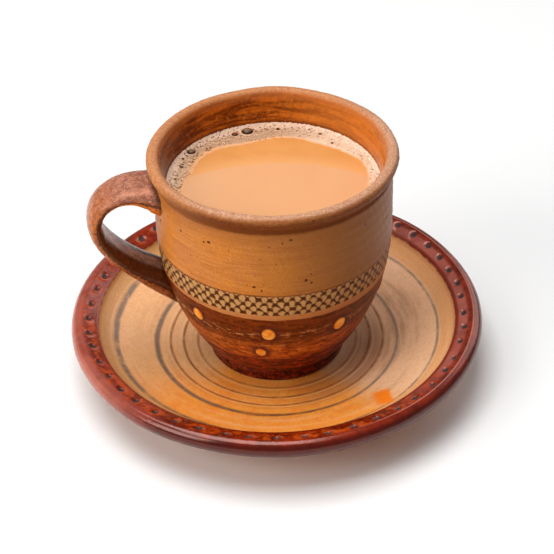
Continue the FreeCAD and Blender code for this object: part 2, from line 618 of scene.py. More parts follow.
class Finish:
    """What every finish here shares.

    Attributes:
        name: the material's name.
    """

    name: str

    def blend(self, recipe: Recipe) -> None:
        """Feeds the shader's inputs, in each finish's own way.

        Args:
            recipe: the nodes of the finish that is being mixed.
        """
        raise NotImplementedError

    def make(self) -> bpy.types.Material:
        """Mixes the finish.

        Returns:
            The material.
        """
        recipe = Recipe(self.name)
        self.blend(recipe)
        return recipe.material


@dataclass(frozen=True)
class Glaze(Finish):
    """What every fired glaze here shares.

    Attributes:
        dullness: the glaze's usual roughness.
        shine: how strongly it mirrors, where 0.5 is glass.
        warmth: the colour that the glaze gives to what it mirrors head on.
    """

    dullness: float
    shine: float
    warmth: Colour = (1.0, 0.5, 0.3, 1.0)

    def gleam(self, recipe: Recipe) -> None:
        """Sets how strongly the glaze mirrors, and in which colour."""
        recipe.set(Specular_IOR_Level=self.shine, Specular_Tint=self.warmth)


@dataclass(frozen=True)
class SaucerGlaze(Glaze):
    """Tan slip in the well with blue-grey and brown rings, under a red-brown glossy rim.

    Attributes:
        well_edge: radius where the well's tan stops and the rim's red starts, in millimetres.
        ring_radii: radii of the two blue-grey rings.
        line_radii: radii of the thin brown rings near the cup.
        line_shift: how far the thin rings' middle stands behind the saucer's.
        dab_turn, dab_radius: where the orange dab stands, in degrees and millimetres.
        dab_lean: the direction of its length, in degrees.
    """

    name: ClassVar[str] = "saucer_glaze"
    well_edge: float = 65.1
    ring_radii: tuple[float, float] = (59.3, 44.6)
    line_radii: tuple[float, float, float] = (39.5, 34.7, 29.4)
    line_shift: float = 1.4
    dab_turn: float = -57.6
    dab_radius: float = 54.2
    dab_lean: float = 88.0

    def painted(self, recipe: Recipe, radius: Socket, centre: float, width: Socket, breaks: float) -> Socket:
        """The strength of one painted ring, which wavers in place, width and strength.

        Args:
            recipe: the finish being mixed.
            radius: the distance from the ring's middle.
            centre: the ring's radius.
            width: its usual width.
            breaks: how much of its strength comes and goes.

        Returns:
            0 off the ring to 1 on it.
        """
        waver = recipe.scaled(recipe.noise(0.04, 2.0), -0.6, 0.6)
        off = recipe.calc("ABSOLUTE", recipe.minus(recipe.plus(radius, waver), centre))
        half = recipe.times(recipe.scaled(recipe.noise(0.13, 3.0, 0.6), 0.3, 0.7), width)
        inside = recipe.rise(recipe.calc("DIVIDE", off, half), 1.7, 0.4)
        patchy = recipe.rise(recipe.noise(0.2, 3.0, 0.65), 0.34, 0.58, 1.0 - breaks, 1.0)
        return recipe.times(inside, patchy)

    def streaky(self, recipe: Recipe, radius: Socket, scale: float, across: float) -> Socket:
        """Noise in streaks that follow the wheel: fast with the radius and slow around it.

        Args:
            recipe: the finish being mixed.
            radius: the distance from the axis.
            scale: streaks for each millimetre of radius.
            across: how much faster than that they change around it.

        Returns:
            The noise.
        """
        node = recipe.tree.nodes.new("ShaderNodeCombineXYZ")
        recipe.feed(node.inputs[0], radius)
        recipe.feed(node.inputs[1], recipe.times(recipe.x, across))
        recipe.feed(node.inputs[2], recipe.times(recipe.y, across))
        return recipe.noise(scale, 4.0, 0.6, node.outputs[0])

    def well(self, recipe: Recipe, radius: Socket) -> Socket:
        """The colour of the well: pale tan at the left, orange at the front, pinkish at the right.

        Args:
            recipe: the finish being mixed.
            radius: the distance from the axis.

        Returns:
            The colour.
        """
        mix, rise, noise, times = recipe.mix, recipe.rise, recipe.noise, recipe.times
        turn = recipe.scaled(noise(0.05, 3.0), -14.0, 14.0)
        turn = recipe.calc("MULTIPLY_ADD", recipe.angle(), 180.0 / math.pi, turn)
        front = times(rise(turn, -172.0, -140.0), rise(turn, -47.0, -66.0))
        right = times(rise(turn, -66.0, -44.0), rise(turn, 110.0, 40.0, 0.2, 1.0))
        mottle = noise(0.35, 4.0, 0.65)
        pale = mix(mottle, shade(222, 160, 102), shade(242, 190, 132))
        orange = mix(mottle, shade(236, 132, 40), shade(252, 172, 72))
        pink = mix(mottle, shade(232, 172, 126), shade(252, 206, 164))
        colour = mix(right, mix(front, pale, orange), pink)
        bright = times(rise(noise(0.16, 4.0, 0.6), 0.52, 0.66), front)
        colour = mix(times(bright, 0.5), colour, shade(248, 138, 36))
        shoulder = times(rise(radius, 58.6, 61.0), 0.85)
        line = self.streaky(recipe, radius, 0.8, 0.05)
        olive = mix(line, shade(176, 122, 66), shade(214, 160, 96))
        tan = mix(line, shade(226, 152, 88), shade(240, 178, 116))
        left = recipe.toward(Side.LEFT.value, -0.2, 0.6)
        colour = mix(shoulder, colour, mix(left, tan, olive))
        thrown = self.streaky(recipe, radius, 0.3, 0.04)
        colour = recipe.over(colour, shade(180, 104, 56), thrown, 0.45, 0.3, 0.22)
        colour = recipe.over(colour, shade(255, 206, 156), thrown, 0.55, 0.7, 0.3)
        grain = noise(1.4, 3.0, 0.7)
        colour = recipe.over(colour, shade(255, 206, 140), grain, 0.52, 0.72, 0.35)
        colour = recipe.over(colour, shade(196, 112, 50), grain, 0.48, 0.3, 0.35)
        blotch = rise(noise(0.12, 4.0, 0.7, swirl=0.5), 0.5, 0.66, 0.0, 0.4)
        colour = mix(times(blotch, front), colour, shade(232, 120, 34))
        smudge = rise(self.streaky(recipe, radius, 0.2, 0.16), 0.48, 0.74)
        near = recipe.between(radius, 27.0, 54.0, 10.0)
        smudge = times(smudge, times(near, recipe.scaled(right, 0.15, 0.5)))
        colour = mix(smudge, colour, shade(150, 88, 56))
        # painted shadow of the cup beside its foot, towards the front right
        painted_foot_shadow = recipe.between(radius, 25.0, 40.0, 7.0)
        painted_foot_shadow = times(painted_foot_shadow, recipe.toward(-42.0, 0.55, 0.95, 0.0, 0.6))
        return mix(painted_foot_shadow, colour, shade(158, 90, 46))

    def rim(self, recipe: Recipe, radius: Socket) -> Socket:
        """The rim: red-brown with orange-red flashes, painted mauve reflections, painted highlights and
        painted shade.

        Args:
            recipe: the finish being mixed.
            radius: the distance from the axis.

        Returns:
            The colour.
        """
        mix, rise, noise, times = recipe.mix, recipe.rise, recipe.noise, recipe.times
        deep = rise(noise(0.1, 4.0, 0.65), 0.35, 0.65)
        red = mix(deep, shade(80, 12, 3), shade(130, 34, 8))
        grain = rise(noise(0.7, 4.0, 0.7), 0.42, 0.62)
        grain = times(grain, rise(radius, 72.0, 70.0, 0.1, 0.4))
        red = mix(grain, red, shade(166, 60, 16))
        # painted reflection: mauve clouds on the roll at the left and on the band at the right
        outer = recipe.toward(-180.0, 0.6, 0.98, 0.0, 0.8)
        outer = times(outer, recipe.between(radius, 70.6, 75.4, 2.0))
        inner = times(recipe.toward(12.0, 0.2, 0.8), recipe.between(radius, 66.2, 69.6, 1.4))
        cloud = rise(noise(0.09, 3.0, 0.6, swirl=0.4), 0.34, 0.56, 0.4, 0.8)
        mauve = times(recipe.calc("MAXIMUM", outer, inner), cloud)
        red = mix(mauve, red, shade(176, 98, 84))
        band = recipe.between(radius, 65.2, 71.6, 1.2)
        flash = rise(noise(0.28, 4.0, 0.65, swirl=0.3), 0.46, 0.62)
        where = recipe.toward(-125.0, -0.25, 0.75)
        flash = times(flash, where, band)
        red = mix(times(flash, 0.8), red, shade(190, 74, 16))
        # painted shade on the steep step down to the well
        step = recipe.between(radius, 64.6, 66.4, 0.9)
        red = mix(times(step, 0.7), red, shade(120, 30, 5))
        # painted highlight: a thin light line where the band meets the roll, at the right
        crease = times(recipe.near(radius, 71.7, 0.4), recipe.toward(-15.0, 0.3, 0.8))
        red = mix(times(crease, 0.5), red, shade(214, 150, 132))
        # painted highlight on the roll's outer edge at the far left
        edge = times(rise(radius, 72.9, 73.9), recipe.toward(-178.0, 0.72, 0.98, 0.0, 0.4))
        red = mix(edge, red, shade(206, 126, 104))
        # painted shade on the roll's outer face, towards the front right
        edge = times(rise(radius, 73.0, 74.4), recipe.toward(-72.0, 0.1, 0.7, 0.0, 0.8))
        return mix(edge, red, shade(62, 6, 2))

    def patch(self, recipe: Recipe) -> Socket:
        """One leaning dab of vivid orange at the front right: sharp on its right side, soft on its left.

        Args:
            recipe: the finish being mixed.

        Returns:
            1 in the dab and 0 outside.
        """
        turn = math.radians(self.dab_turn)
        dx = recipe.minus(recipe.x, self.dab_radius * math.cos(turn))
        dy = recipe.minus(recipe.y, self.dab_radius * math.sin(turn))
        long = recipe.along(dx, dy, self.dab_lean)
        side = recipe.along(dx, dy, self.dab_lean - 90.0)
        ragged = recipe.scaled(recipe.noise(0.6, 4.0, 0.75), -2.6, 2.6)
        side = recipe.plus(side, ragged)
        wide = recipe.times(recipe.rise(side, -4.8, -1.2), recipe.rise(side, 3.2, 2.2))
        tall = recipe.between(recipe.plus(long, ragged), -5.2, 5.0, 2.6)
        return recipe.times(wide, tall)

    def rings(self, recipe: Recipe, radius: Socket, colour: Socket) -> Socket:
        """Paints the rings over the well: the two wide ones, broad at the left, and the thin brown ones.

        Args:
            recipe: the finish being mixed.
            radius: the distance from the axis.
            colour: the well's colour.

        Returns:
            The well with its rings.
        """
        mix, times = recipe.mix, recipe.times
        outer = recipe.toward(-175.0, -0.2, 0.9, 0.9, 1.75)
        inner = recipe.toward(-155.0, 0.1, 0.8, 1.05, 1.75)
        front = recipe.toward(-85.0, 0.55, 0.95)
        for centre, width, breaks in zip(self.ring_radii, (outer, inner), (0.5, 0.3)):
            ring = self.painted(recipe, radius, centre, width, breaks)
            tone = mix(recipe.noise(0.2, 3.0), shade(82, 68, 58), shade(128, 110, 96))
            tone = mix(times(front, 0.8), tone, shade(104, 62, 34))
            faded = recipe.toward(Side.RIGHT.value, 0.2, 0.9, 0.0, 0.5)
            tone = mix(faded, tone, shade(172, 142, 116))
            colour = mix(times(ring, 0.92), colour, tone)
        behind = recipe.facing(Side.BACK.value)
        moved = recipe.calc("MULTIPLY_ADD", behind, -self.line_shift, radius)
        for centre, strength in zip(self.line_radii, (0.75, 0.85, 0.6)):
            line = self.painted(recipe, moved, centre, recipe.scaled(behind, 0.85, 0.8), 0.45)
            colour = mix(times(line, strength), colour, shade(142, 76, 32))
            # painted highlight along the outer side of each thin ring, as on a lit ridge
            ring_highlight = recipe.near(moved, centre + 1.1, 0.6)
            colour = mix(times(ring_highlight, 0.3), colour, shade(255, 208, 156))
        return colour

    def blend(self, recipe: Recipe) -> None:
        """Lays the rings over the well, then the dab, the rim, the marks and the bare underside."""
        mix, rise, noise, times = recipe.mix, recipe.rise, recipe.noise, recipe.times
        radius = recipe.radius()
        colour = self.rings(recipe, radius, self.well(recipe, radius))
        colour = mix(self.patch(recipe), colour, shade(250, 128, 4))
        edge = recipe.scaled(noise(0.3, 2.0), self.well_edge - 0.25, self.well_edge + 0.25)
        rim = rise(recipe.minus(radius, edge), -0.15, 0.25)
        colour = mix(rim, colour, self.rim(recipe, radius))
        # painted glint on the marks' raised crests
        colour = mix(recipe.value("crest"), colour, shade(178, 84, 52))
        colour = mix(recipe.value("stamp"), colour, shade(44, 32, 34))
        under = recipe.value("under")
        clay = mix(noise(0.12, 5.0, 0.6), shade(158, 84, 52), shade(186, 110, 72))
        colour = mix(under, colour, clay)
        dull = rise(rim, 0.0, 1.0, self.dullness + 0.25, self.dullness)
        rough = recipe.plus(recipe.scaled(noise(0.5, 3.0), -0.05, 0.07), dull)
        rough = recipe.calc("MAXIMUM", rough, times(under, 0.75))
        rough = recipe.calc("MAXIMUM", rough, times(recipe.value("stamp"), 0.7))
        thrown = times(self.streaky(recipe, radius, 0.3, 0.04), rise(rim, 1.0, 0.0))
        relief = recipe.bump(thrown, 0.12)
        relief = recipe.bump(noise(0.9, 4.0, 0.6), 0.05, relief)
        recipe.set(Base_Color=colour, Roughness=rough, Normal=relief)
        self.gleam(recipe)


@dataclass(frozen=True)
class CupGlaze(Glaze):
    """Brushed tan over a painted band and a dark streaked foot, rust glaze inside and a worn lip.

    Attributes:
        foot: height of the cup's foot over the frame's floor, in millimetres.
        repeats: how often the band's pattern repeats round the cup.
        band_low: the pattern's lowest edge over the foot.
        row_height: height of one of its rows.
        rows: how many rows it has.
    """

    name: ClassVar[str] = "cup_glaze"
    foot: float = 6.5
    repeats: int = 70
    band_low: float = 42.6
    row_height: float = 2.1
    rows: int = 4

    def body(self, recipe: Recipe, height: Socket) -> Socket:
        """The tan above the band: fine brushing all round it, with painted shade at the right and a painted
        shadow under the lip.

        Args:
            recipe: the finish being mixed.
            height: the height over the foot.

        Returns:
            The colour.
        """
        mix, noise = recipe.mix, recipe.noise
        brushed = noise(1.0, 4.0, 0.65, recipe.stretched(0.06, 1.3))
        colour = mix(recipe.rise(brushed, 0.2, 0.8), shade(186, 102, 38), shade(216, 138, 66))
        cloud = noise(0.07, 3.0, 0.6)
        colour = recipe.over(colour, shade(218, 132, 44), cloud, 0.4, 0.62, 0.6)
        scratch = noise(1.0, 4.0, 0.75, recipe.stretched(0.16, 3.2))
        colour = recipe.over(colour, shade(146, 76, 28), scratch, 0.57, 0.72, 0.3)
        grain = noise(1.6, 3.0, 0.7)
        colour = recipe.over(colour, shade(232, 168, 104), grain, 0.5, 0.75, 0.4)
        colour = recipe.over(colour, shade(150, 78, 26), grain, 0.48, 0.28, 0.35)
        # painted shade: browner towards the right side
        dull = recipe.toward(Side.RIGHT.value, -0.5, 0.8, 0.0, 0.85)
        colour = mix(dull, colour, shade(128, 74, 30))
        # painted shadow under the lip, strongest towards the front right
        lip_shadow = recipe.rise(height, 66.0, 77.5)
        shaded = recipe.toward(-60.0, -0.8, 0.5, 0.1, 0.4)
        return mix(recipe.times(lip_shadow, shaded), colour, shade(134, 72, 30))

    def pattern(self, recipe: Recipe, height: Socket) -> Socket:
        """The painted band: four staggered rows of dark wedges, joined by slanted lines.

        A row counts up in steps of its height. In it a wedge's half width falls from its foot to
        its top, and every second row is moved by half a repeat.

        Args:
            recipe: the finish being mixed.
            height: the height over the foot, less the band's lean.

        Returns:
            1 in the paint and 0 outside.
        """
        waver = recipe.scaled(recipe.noise(0.3, 3.0, 0.6), -0.34, 0.34)
        around = recipe.calc("MULTIPLY_ADD", recipe.angle(), self.repeats / TURN, waver)
        lift = recipe.scaled(recipe.noise(0.2, 2.0), -0.4, 0.4)
        up = recipe.calc("DIVIDE", recipe.minus(height, self.band_low), self.row_height)
        up = recipe.plus(up, lift)
        row = recipe.calc("FLOOR", up)
        share = recipe.minus(up, row)
        place = recipe.calc("FRACT", recipe.calc("MULTIPLY_ADD", row, 0.5, around))
        off = recipe.calc("ABSOLUTE", recipe.minus(place, 0.5))
        half = recipe.calc("MULTIPLY_ADD", share, -0.27, 0.36)
        half = recipe.plus(recipe.scaled(recipe.noise(0.8, 2.0), -0.1, 0.1), half)
        wedge = recipe.rise(recipe.minus(off, half), 0.06, -0.06)
        wedge = recipe.times(wedge, recipe.between(share, 0.02, 0.78, 0.2))
        slants = []
        for slope in (0.5, -0.5):
            line = recipe.calc("MULTIPLY_ADD", up, slope, recipe.plus(around, -0.4 * slope))
            strength = recipe.rise(recipe.noise(0.5, 2.0), 0.35, 0.6, 0.6, 1.0)
            slants.append(recipe.times(recipe.near(recipe.calc("FRACT", line), 0.5, 0.2), strength))
        return recipe.calc("MAXIMUM", wedge, recipe.calc("MAXIMUM", *slants))

    def band(self, recipe: Recipe, height: Socket, colour: Socket) -> Socket:
        """Lays the band over the body: the pattern on cream, a plain stripe under it, a line over it.

        Args:
            recipe: the finish being mixed.
            height: the height over the foot.
            colour: the colour of the body.

        Returns:
            The body with its band.
        """
        mix, rise, noise = recipe.mix, recipe.rise, recipe.noise
        top = self.band_low + self.rows * self.row_height
        level = recipe.calc("MULTIPLY_ADD", recipe.facing(Side.LEFT.value), -0.45, height)
        cream = mix(noise(0.7, 3.0, 0.6), shade(182, 124, 66), shade(222, 170, 108))
        dark = mix(noise(0.4, 2.0), shade(58, 24, 5), shade(98, 48, 14))
        painted = mix(self.pattern(recipe, level), cream, dark)
        colour = mix(rise(level, top + 0.1, top - 0.1), colour, painted)
        brushed = noise(1.0, 3.0, 0.5, recipe.stretched(0.08, 1.2))
        stripe = mix(brushed, shade(182, 108, 52), shade(216, 144, 84))
        colour = mix(rise(level, self.band_low + 0.15, self.band_low - 0.15), colour, stripe)
        strength = rise(noise(0.15, 3.0), 0.3, 0.6, 0.5, 0.95)
        line = recipe.times(recipe.near(level, top + 0.2, 0.5), strength)
        colour = mix(line, colour, shade(106, 38, 12))
        # painted shade, darker towards the right side
        dull = recipe.toward(Side.RIGHT.value, -0.1, 0.9, 0.0, 0.6)
        dull = recipe.times(dull, rise(level, top + 0.6, top - 0.6))
        return mix(dull, colour, shade(178, 138, 104), "MULTIPLY")

    def dabs(self, recipe: Recipe, height: Socket, middle: float, spread: float, sizes: tuple[float, float],
             groups: float) -> Socket:
        """A row of brushed dabs round the wall, in broken groups.

        Args:
            recipe: the finish being mixed.
            height: the height over the foot.
            middle, spread: the row's middle and width.
            sizes: how fine the dabs are across and up.
            groups: 0.5 leaves half of the row bare, and less leaves less.

        Returns:
            The dabs' strength.
        """
        dab = recipe.rise(recipe.noise(1.0, 3.0, 0.65, recipe.stretched(*sizes)), 0.5, 0.6)
        group = recipe.rise(recipe.noise(0.09, 1.0), groups - 0.06, groups + 0.06)
        where = recipe.between(height, middle - spread / 2, middle + spread / 2, spread * 0.6)
        return recipe.times(dab, where, group)

    def streaks(self, recipe: Recipe, height: Socket) -> Socket:
        """The dark lower wall: streaks round it, rows of light dabs, and a darker red foot.

        Args:
            recipe: the finish being mixed.
            height: the height over the foot.

        Returns:
            The colour.
        """
        mix, rise, noise, times = recipe.mix, recipe.rise, recipe.noise, recipe.times
        streak = noise(1.0, 4.0, 0.7, recipe.stretched(0.16, 0.7))
        mottle = noise(0.55, 4.0, 0.7)
        colour = mix(rise(streak, 0.35, 0.65), shade(80, 27, 4), shade(130, 54, 12))
        colour = recipe.over(colour, shade(162, 70, 16), mottle, 0.52, 0.66, 0.6)
        warm = mix(rise(streak, 0.35, 0.62), shade(132, 54, 12), shade(206, 108, 36))
        warm = recipe.over(warm, shade(92, 26, 8), mottle, 0.5, 0.36, 0.7)
        colour = mix(recipe.between(height, 17.0, 27.5, 4.0), colour, warm)
        deep = mix(rise(streak, 0.42, 0.64), shade(70, 12, 6), shade(150, 46, 18))
        deep = recipe.over(deep, shade(196, 84, 44), mottle, 0.54, 0.64, 0.75)
        colour = mix(rise(height, 19.0, 15.5), colour, deep)
        upper = self.dabs(recipe, height, 32.2, 2.6, (0.42, 0.8), 0.42)
        colour = mix(times(upper, 0.75), colour, shade(214, 146, 92))
        lower = self.dabs(recipe, height, 22.2, 4.4, (0.3, 0.5), 0.38)
        colour = mix(times(lower, 0.8), colour, shade(226, 130, 52))
        for middle, strength in ((26.6, 0.75), (17.4, 0.6), (29.2, 0.35)):
            broken = rise(noise(0.22, 4.0, 0.7), 0.44, 0.6, 0.0, strength)
            line = times(recipe.near(height, middle, 0.6), broken)
            colour = mix(line, colour, shade(206, 136, 78))
        halo = mix(mottle, shade(48, 14, 16), shade(96, 40, 42))
        colour = mix(times(recipe.value("halo"), 0.85), colour, halo)
        foot = mix(rise(mottle, 0.42, 0.62), shade(48, 8, 3), shade(136, 42, 16))
        colour = mix(rise(height, 8.5, 5.0), colour, foot)
        # painted shade, darker towards the right side
        dull = recipe.toward(Side.RIGHT.value, 0.0, 0.9, 0.0, 0.7)
        return mix(dull, colour, shade(168, 120, 96), "MULTIPLY")

    def lip(self, recipe: Recipe, height: Socket) -> Socket:
        """The lip: tan at the left and back, brown at the front and right, worn pale on its inner edge.

        Args:
            recipe: the finish being mixed.
            height: the height over the foot.

        Returns:
            The colour.
        """
        mix, rise, noise, times = recipe.mix, recipe.rise, recipe.noise, recipe.times
        grain = rise(noise(1.1, 4.0, 0.7), 0.3, 0.7)
        light = mix(grain, shade(160, 94, 48), shade(204, 136, 84))
        grain = rise(noise(1.3, 4.0, 0.7), 0.25, 0.75)
        dark = mix(grain, shade(88, 36, 8), shade(140, 74, 26))
        where = recipe.toward(-60.0, -0.4, 0.45)
        crown = rise(height, 81.2, 82.6, 1.0, 0.55)
        colour = mix(times(where, crown), light, dark)
        grain = noise(1.5, 4.0, 0.75)
        inwards = rise(recipe.radius(), 42.9, 41.7)
        inwards = times(inwards, rise(height, 80.4, 81.4))
        bare = times(recipe.scaled(where, 0.3, 1.0), inwards)
        colour = mix(times(bare, 0.85), colour, shade(188, 136, 104))
        worn = times(rise(grain, 0.48, 0.66), times(bare, 0.6))
        colour = mix(worn, colour, shade(230, 196, 168))
        chips = rise(grain, 0.44, 0.32)
        return mix(times(chips, recipe.scaled(where, 0.25, 0.7)), colour, shade(92, 46, 20))

    def inside(self, recipe: Recipe, height: Socket) -> Socket:
        """The glossy rust glaze inside, with darker bands round it, an orange upper edge, painted light and
        shade, and small painted highlights.

        Args:
            recipe: the finish being mixed.
            height: the height over the foot.

        Returns:
            The colour.
        """
        mix, noise = recipe.mix, recipe.noise
        streak = noise(1.0, 4.0, 0.65, recipe.stretched(0.07, 0.5))
        colour = mix(recipe.rise(streak, 0.38, 0.62), shade(112, 46, 6), shade(196, 100, 24))
        fine = noise(0.9, 4.0, 0.7)
        colour = recipe.over(colour, shade(216, 130, 60), fine, 0.52, 0.68, 0.5)
        dark = recipe.rise(noise(0.5, 4.0, 0.7), 0.5, 0.34, 0.0, 0.5)
        colour = mix(dark, colour, shade(92, 34, 6))
        # painted light on the right of the inside, and painted shade on the left
        lit = recipe.toward(5.0, 0.1, 0.95)
        colour = mix(recipe.times(lit, 0.5), colour, shade(222, 132, 54))
        shaded = recipe.toward(-165.0, 0.1, 0.95, 0.0, 0.6)
        colour = mix(shaded, colour, shade(92, 44, 18))
        colour = recipe.over(colour, shade(196, 116, 60), height, 79.2, 81.0, 0.6)
        colour = recipe.over(colour, shade(84, 32, 8), height, 72.8, 71.2, 0.7)
        # painted highlights: small pale specks
        highlight_specks = recipe.specks(0.2, 0.1, 0.35)
        return mix(recipe.times(highlight_specks, 0.55), colour, shade(232, 186, 150))

    def blend(self, recipe: Recipe) -> None:
        """Lays the wall from the lip down to the foot, then the lip and the inside."""
        mix, noise = recipe.mix, recipe.noise
        height = recipe.minus(recipe.z, self.foot)
        outside = self.band(recipe, height, self.body(recipe, height))
        edge = recipe.calc("MULTIPLY_ADD", recipe.facing(Side.LEFT.value), -1.2, height)
        edge = recipe.calc("MULTIPLY_ADD", noise(0.2, 2.0), 0.7, edge)
        low = recipe.rise(edge, 40.75, 40.35)
        outside = mix(low, outside, self.streaks(recipe, height))
        line = recipe.calc("MULTIPLY_ADD", noise(0.25, 3.0), 0.8, height)
        # painted shade in the crease under the lip, strongest towards the front right; the same mask also
        # dulls the glaze there
        strength = recipe.toward(-50.0, -0.75, 0.5, 0.2, 0.85)
        crease = recipe.times(recipe.between(line, 76.3, 79.6, 1.2), strength)
        outside = mix(crease, outside, shade(98, 40, 8))
        colour = mix(recipe.rise(line, 77.8, 79.2), outside, self.lip(recipe, line))
        inner = recipe.value("inner")
        colour = mix(inner, colour, self.inside(recipe, height))
        rough = recipe.scaled(noise(0.6, 3.0), self.dullness - 0.1, self.dullness + 0.1)
        rough = recipe.calc("MULTIPLY_ADD", inner, -0.2, rough)
        rough = recipe.calc("MAXIMUM", rough, recipe.times(crease, 0.9))
        relief = recipe.bump(noise(1.0, 3.0, 0.6, recipe.stretched(0.05, 1.6)), 0.05)
        relief = recipe.bump(noise(1.2, 4.0, 0.65), 0.07, relief)
        recipe.set(Base_Color=colour, Roughness=rough, Normal=relief)
        self.gleam(recipe)


@dataclass(frozen=True)
class HandleGlaze(Glaze):
    """Mauve-brown glaze on the strap's back and orange along its flanks, with painted shade along its edge
    and in its corners.
    """

    name: ClassVar[str] = "handle_glaze"

    def blend(self, recipe: Recipe) -> None:
        """Parts the strap into its back, its flanks and its hollow, and paints shade along its edge and into
        both joints.
        """
        mix, rise, noise, times = recipe.mix, recipe.rise, recipe.noise, recipe.times
        back, joint, run = (recipe.value(name) for name in ("back", "joint", "run"))
        mauve = rise(noise(0.4, 4.0, 0.7), 0.3, 0.7)
        top = mix(mauve, shade(128, 74, 56), shade(182, 118, 94))
        pale = rise(noise(1.9, 4.0, 0.8), 0.56, 0.66, 0.0, 0.8)
        top = mix(pale, top, shade(244, 208, 184))
        spots = recipe.specks(0.6, 0.24, 0.4)
        top = mix(times(spots, 0.7), top, shade(206, 92, 34))
        pits = rise(noise(1.3, 4.0, 0.75), 0.44, 0.34, 0.0, 0.25)
        top = mix(pits, top, shade(82, 36, 16))
        lower = rise(run, 0.14, 0.4)
        warm = mix(noise(0.3, 4.0, 0.65), shade(150, 66, 18), shade(236, 134, 44))
        warm = recipe.over(warm, shade(130, 60, 22), run, 0.45, 0.7, 0.6)
        mottle = rise(noise(0.75, 4.0, 0.72), 0.46, 0.58)
        warm = mix(times(mottle, 0.7), warm, shade(64, 22, 6))
        top = mix(times(lower, 0.85), top, warm)
        grey = rise(noise(0.25, 4.0, 0.6, swirl=0.4), 0.3, 0.6, 0.4, 1.0)
        sheen = times(recipe.between(recipe.y, -3.0, 2.6, 2.4), grey)
        hollow = mix(noise(0.4, 4.0, 0.65), shade(62, 26, 10), shade(104, 52, 24))
        hollow = mix(times(sheen, 0.85), hollow, shade(190, 150, 128))
        bright = mix(noise(0.5, 3.0, 0.6), shade(206, 98, 16), shade(255, 152, 46))
        hollow = mix(rise(run, 0.3, 0.16), hollow, bright)
        edge = recipe.plus(recipe.scaled(noise(0.6, 4.0, 0.75), -0.4, 0.4), back)
        colour = mix(rise(edge, -0.4, -0.1), hollow, top)
        flank = recipe.between(edge, -0.62, 0.05, 0.3)
        burnt = mix(lower, shade(214, 108, 30), shade(74, 32, 12))
        colour = mix(times(flank, 0.65), colour, burnt)
        # painted shade: a dark line along the strap's edge, where the back turns to the hollow side
        edge_shade = recipe.near(edge, -0.1, 0.2)
        colour = mix(times(edge_shade, 0.9), colour, shade(38, 14, 6))
        # painted shade in the corners where the strap meets the wall
        patchy = rise(noise(0.3, 3.0), 0.2, 0.5, 0.7, 1.0)
        dark = times(rise(joint, 0.2, 0.9), patchy)
        dark = times(dark, rise(edge, -0.5, 0.0, 0.3, 1.0))
        colour = mix(times(dark, 0.85), colour, shade(34, 12, 6))
        rough = recipe.scaled(noise(0.5, 3.0), self.dullness - 0.08, self.dullness + 0.08)
        relief = recipe.bump(noise(0.8, 3.0, 0.5), 0.05)
        recipe.set(Base_Color=colour, Roughness=rough, Normal=relief)
        self.gleam(recipe)


@dataclass(frozen=True)
class DotSlip(Glaze):
    """Thick orange slip, a little dull and uneven, darker round each dot's edge."""

    name: ClassVar[str] = "dot_slip"

    def blend(self, recipe: Recipe) -> None:
        """Mottles the slip and darkens each dot's edge."""
        mottle = recipe.rise(recipe.noise(0.7, 3.0, 0.6), 0.35, 0.65)
        colour = recipe.mix(mottle, shade(255, 132, 10), shade(255, 186, 84))
        colour = recipe.over(colour, shade(176, 84, 20), recipe.value("rim"), 0.78, 1.0)
        relief = recipe.bump(recipe.noise(1.4, 3.0), 0.05)
        recipe.set(Base_Color=colour, Roughness=self.dullness, Normal=relief)
        self.gleam(recipe)


@dataclass(frozen=True)
class IronSpot(Glaze):
    """Dark brown flecks of iron, a little uneven."""

    name: ClassVar[str] = "iron_spot"

    def blend(self, recipe: Recipe) -> None:
        """Mottles the brown."""
        colour = recipe.mix(recipe.noise(1.5, 2.0), shade(70, 28, 12), shade(118, 58, 28))
        recipe.set(Base_Color=colour, Roughness=self.dullness)
        self.gleam(recipe)


@dataclass(frozen=True)
class Tea(Finish):
    """Milk tea: soft, slightly see-through and smooth, with a painted reflection of the back wall as a
    deeper tone towards the back.

    Attributes:
        reflection_centre: middle of the wide arc between the two tones, in millimetres.
        reflection_radius: radius of that arc.
    """

    name: ClassVar[str] = "milk_tea"
    reflection_centre: tuple[float, float] = (-8.62, -48.9)
    reflection_radius: float = 60.0

    def blend(self, recipe: Recipe) -> None:
        """Parts the surface along the arc into the tea's own tone and the painted reflection behind it, and
        paints a highlight at the left.
        """
        mix, rise, noise = recipe.mix, recipe.rise, recipe.noise
        dx = recipe.minus(recipe.x, self.reflection_centre[0])
        dy = recipe.minus(recipe.y, self.reflection_centre[1])
        far = recipe.calc("MULTIPLY_ADD", noise(0.12, 2.0), 0.8, recipe.length(dx, dy))
        # painted reflection of the cup's back wall: a deeper tone behind the arc, lighter close to the arc
        behind = rise(far, self.reflection_radius - 0.5, self.reflection_radius + 1.3)
        light = mix(noise(0.06, 3.0), shade(216, 156, 108), shade(220, 164, 118))
        # painted highlight: the tea is lighter towards the left
        left = rise(recipe.x, -8.0, -32.0, 0.0, 0.5)
        light = mix(left, light, shade(226, 172, 130))
        deep = mix(noise(0.12, 4.0, 0.6), shade(204, 136, 70), shade(222, 154, 90))
        reflection_fade = rise(far, self.reflection_radius + 8.0, self.reflection_radius)
        deep = mix(reflection_fade, deep, shade(222, 158, 98))
        colour = mix(behind, light, deep)
        recipe.set(
            Base_Color=colour,
            Roughness=0.24,
            Specular_IOR_Level=0.35,
            Subsurface_Weight=0.25,
            Subsurface_Radius=(0.9, 0.5, 0.25),
            Subsurface_Scale=2.0 * MM,
            Normal=recipe.bump(noise(0.15, 2.0), 0.05),
        )


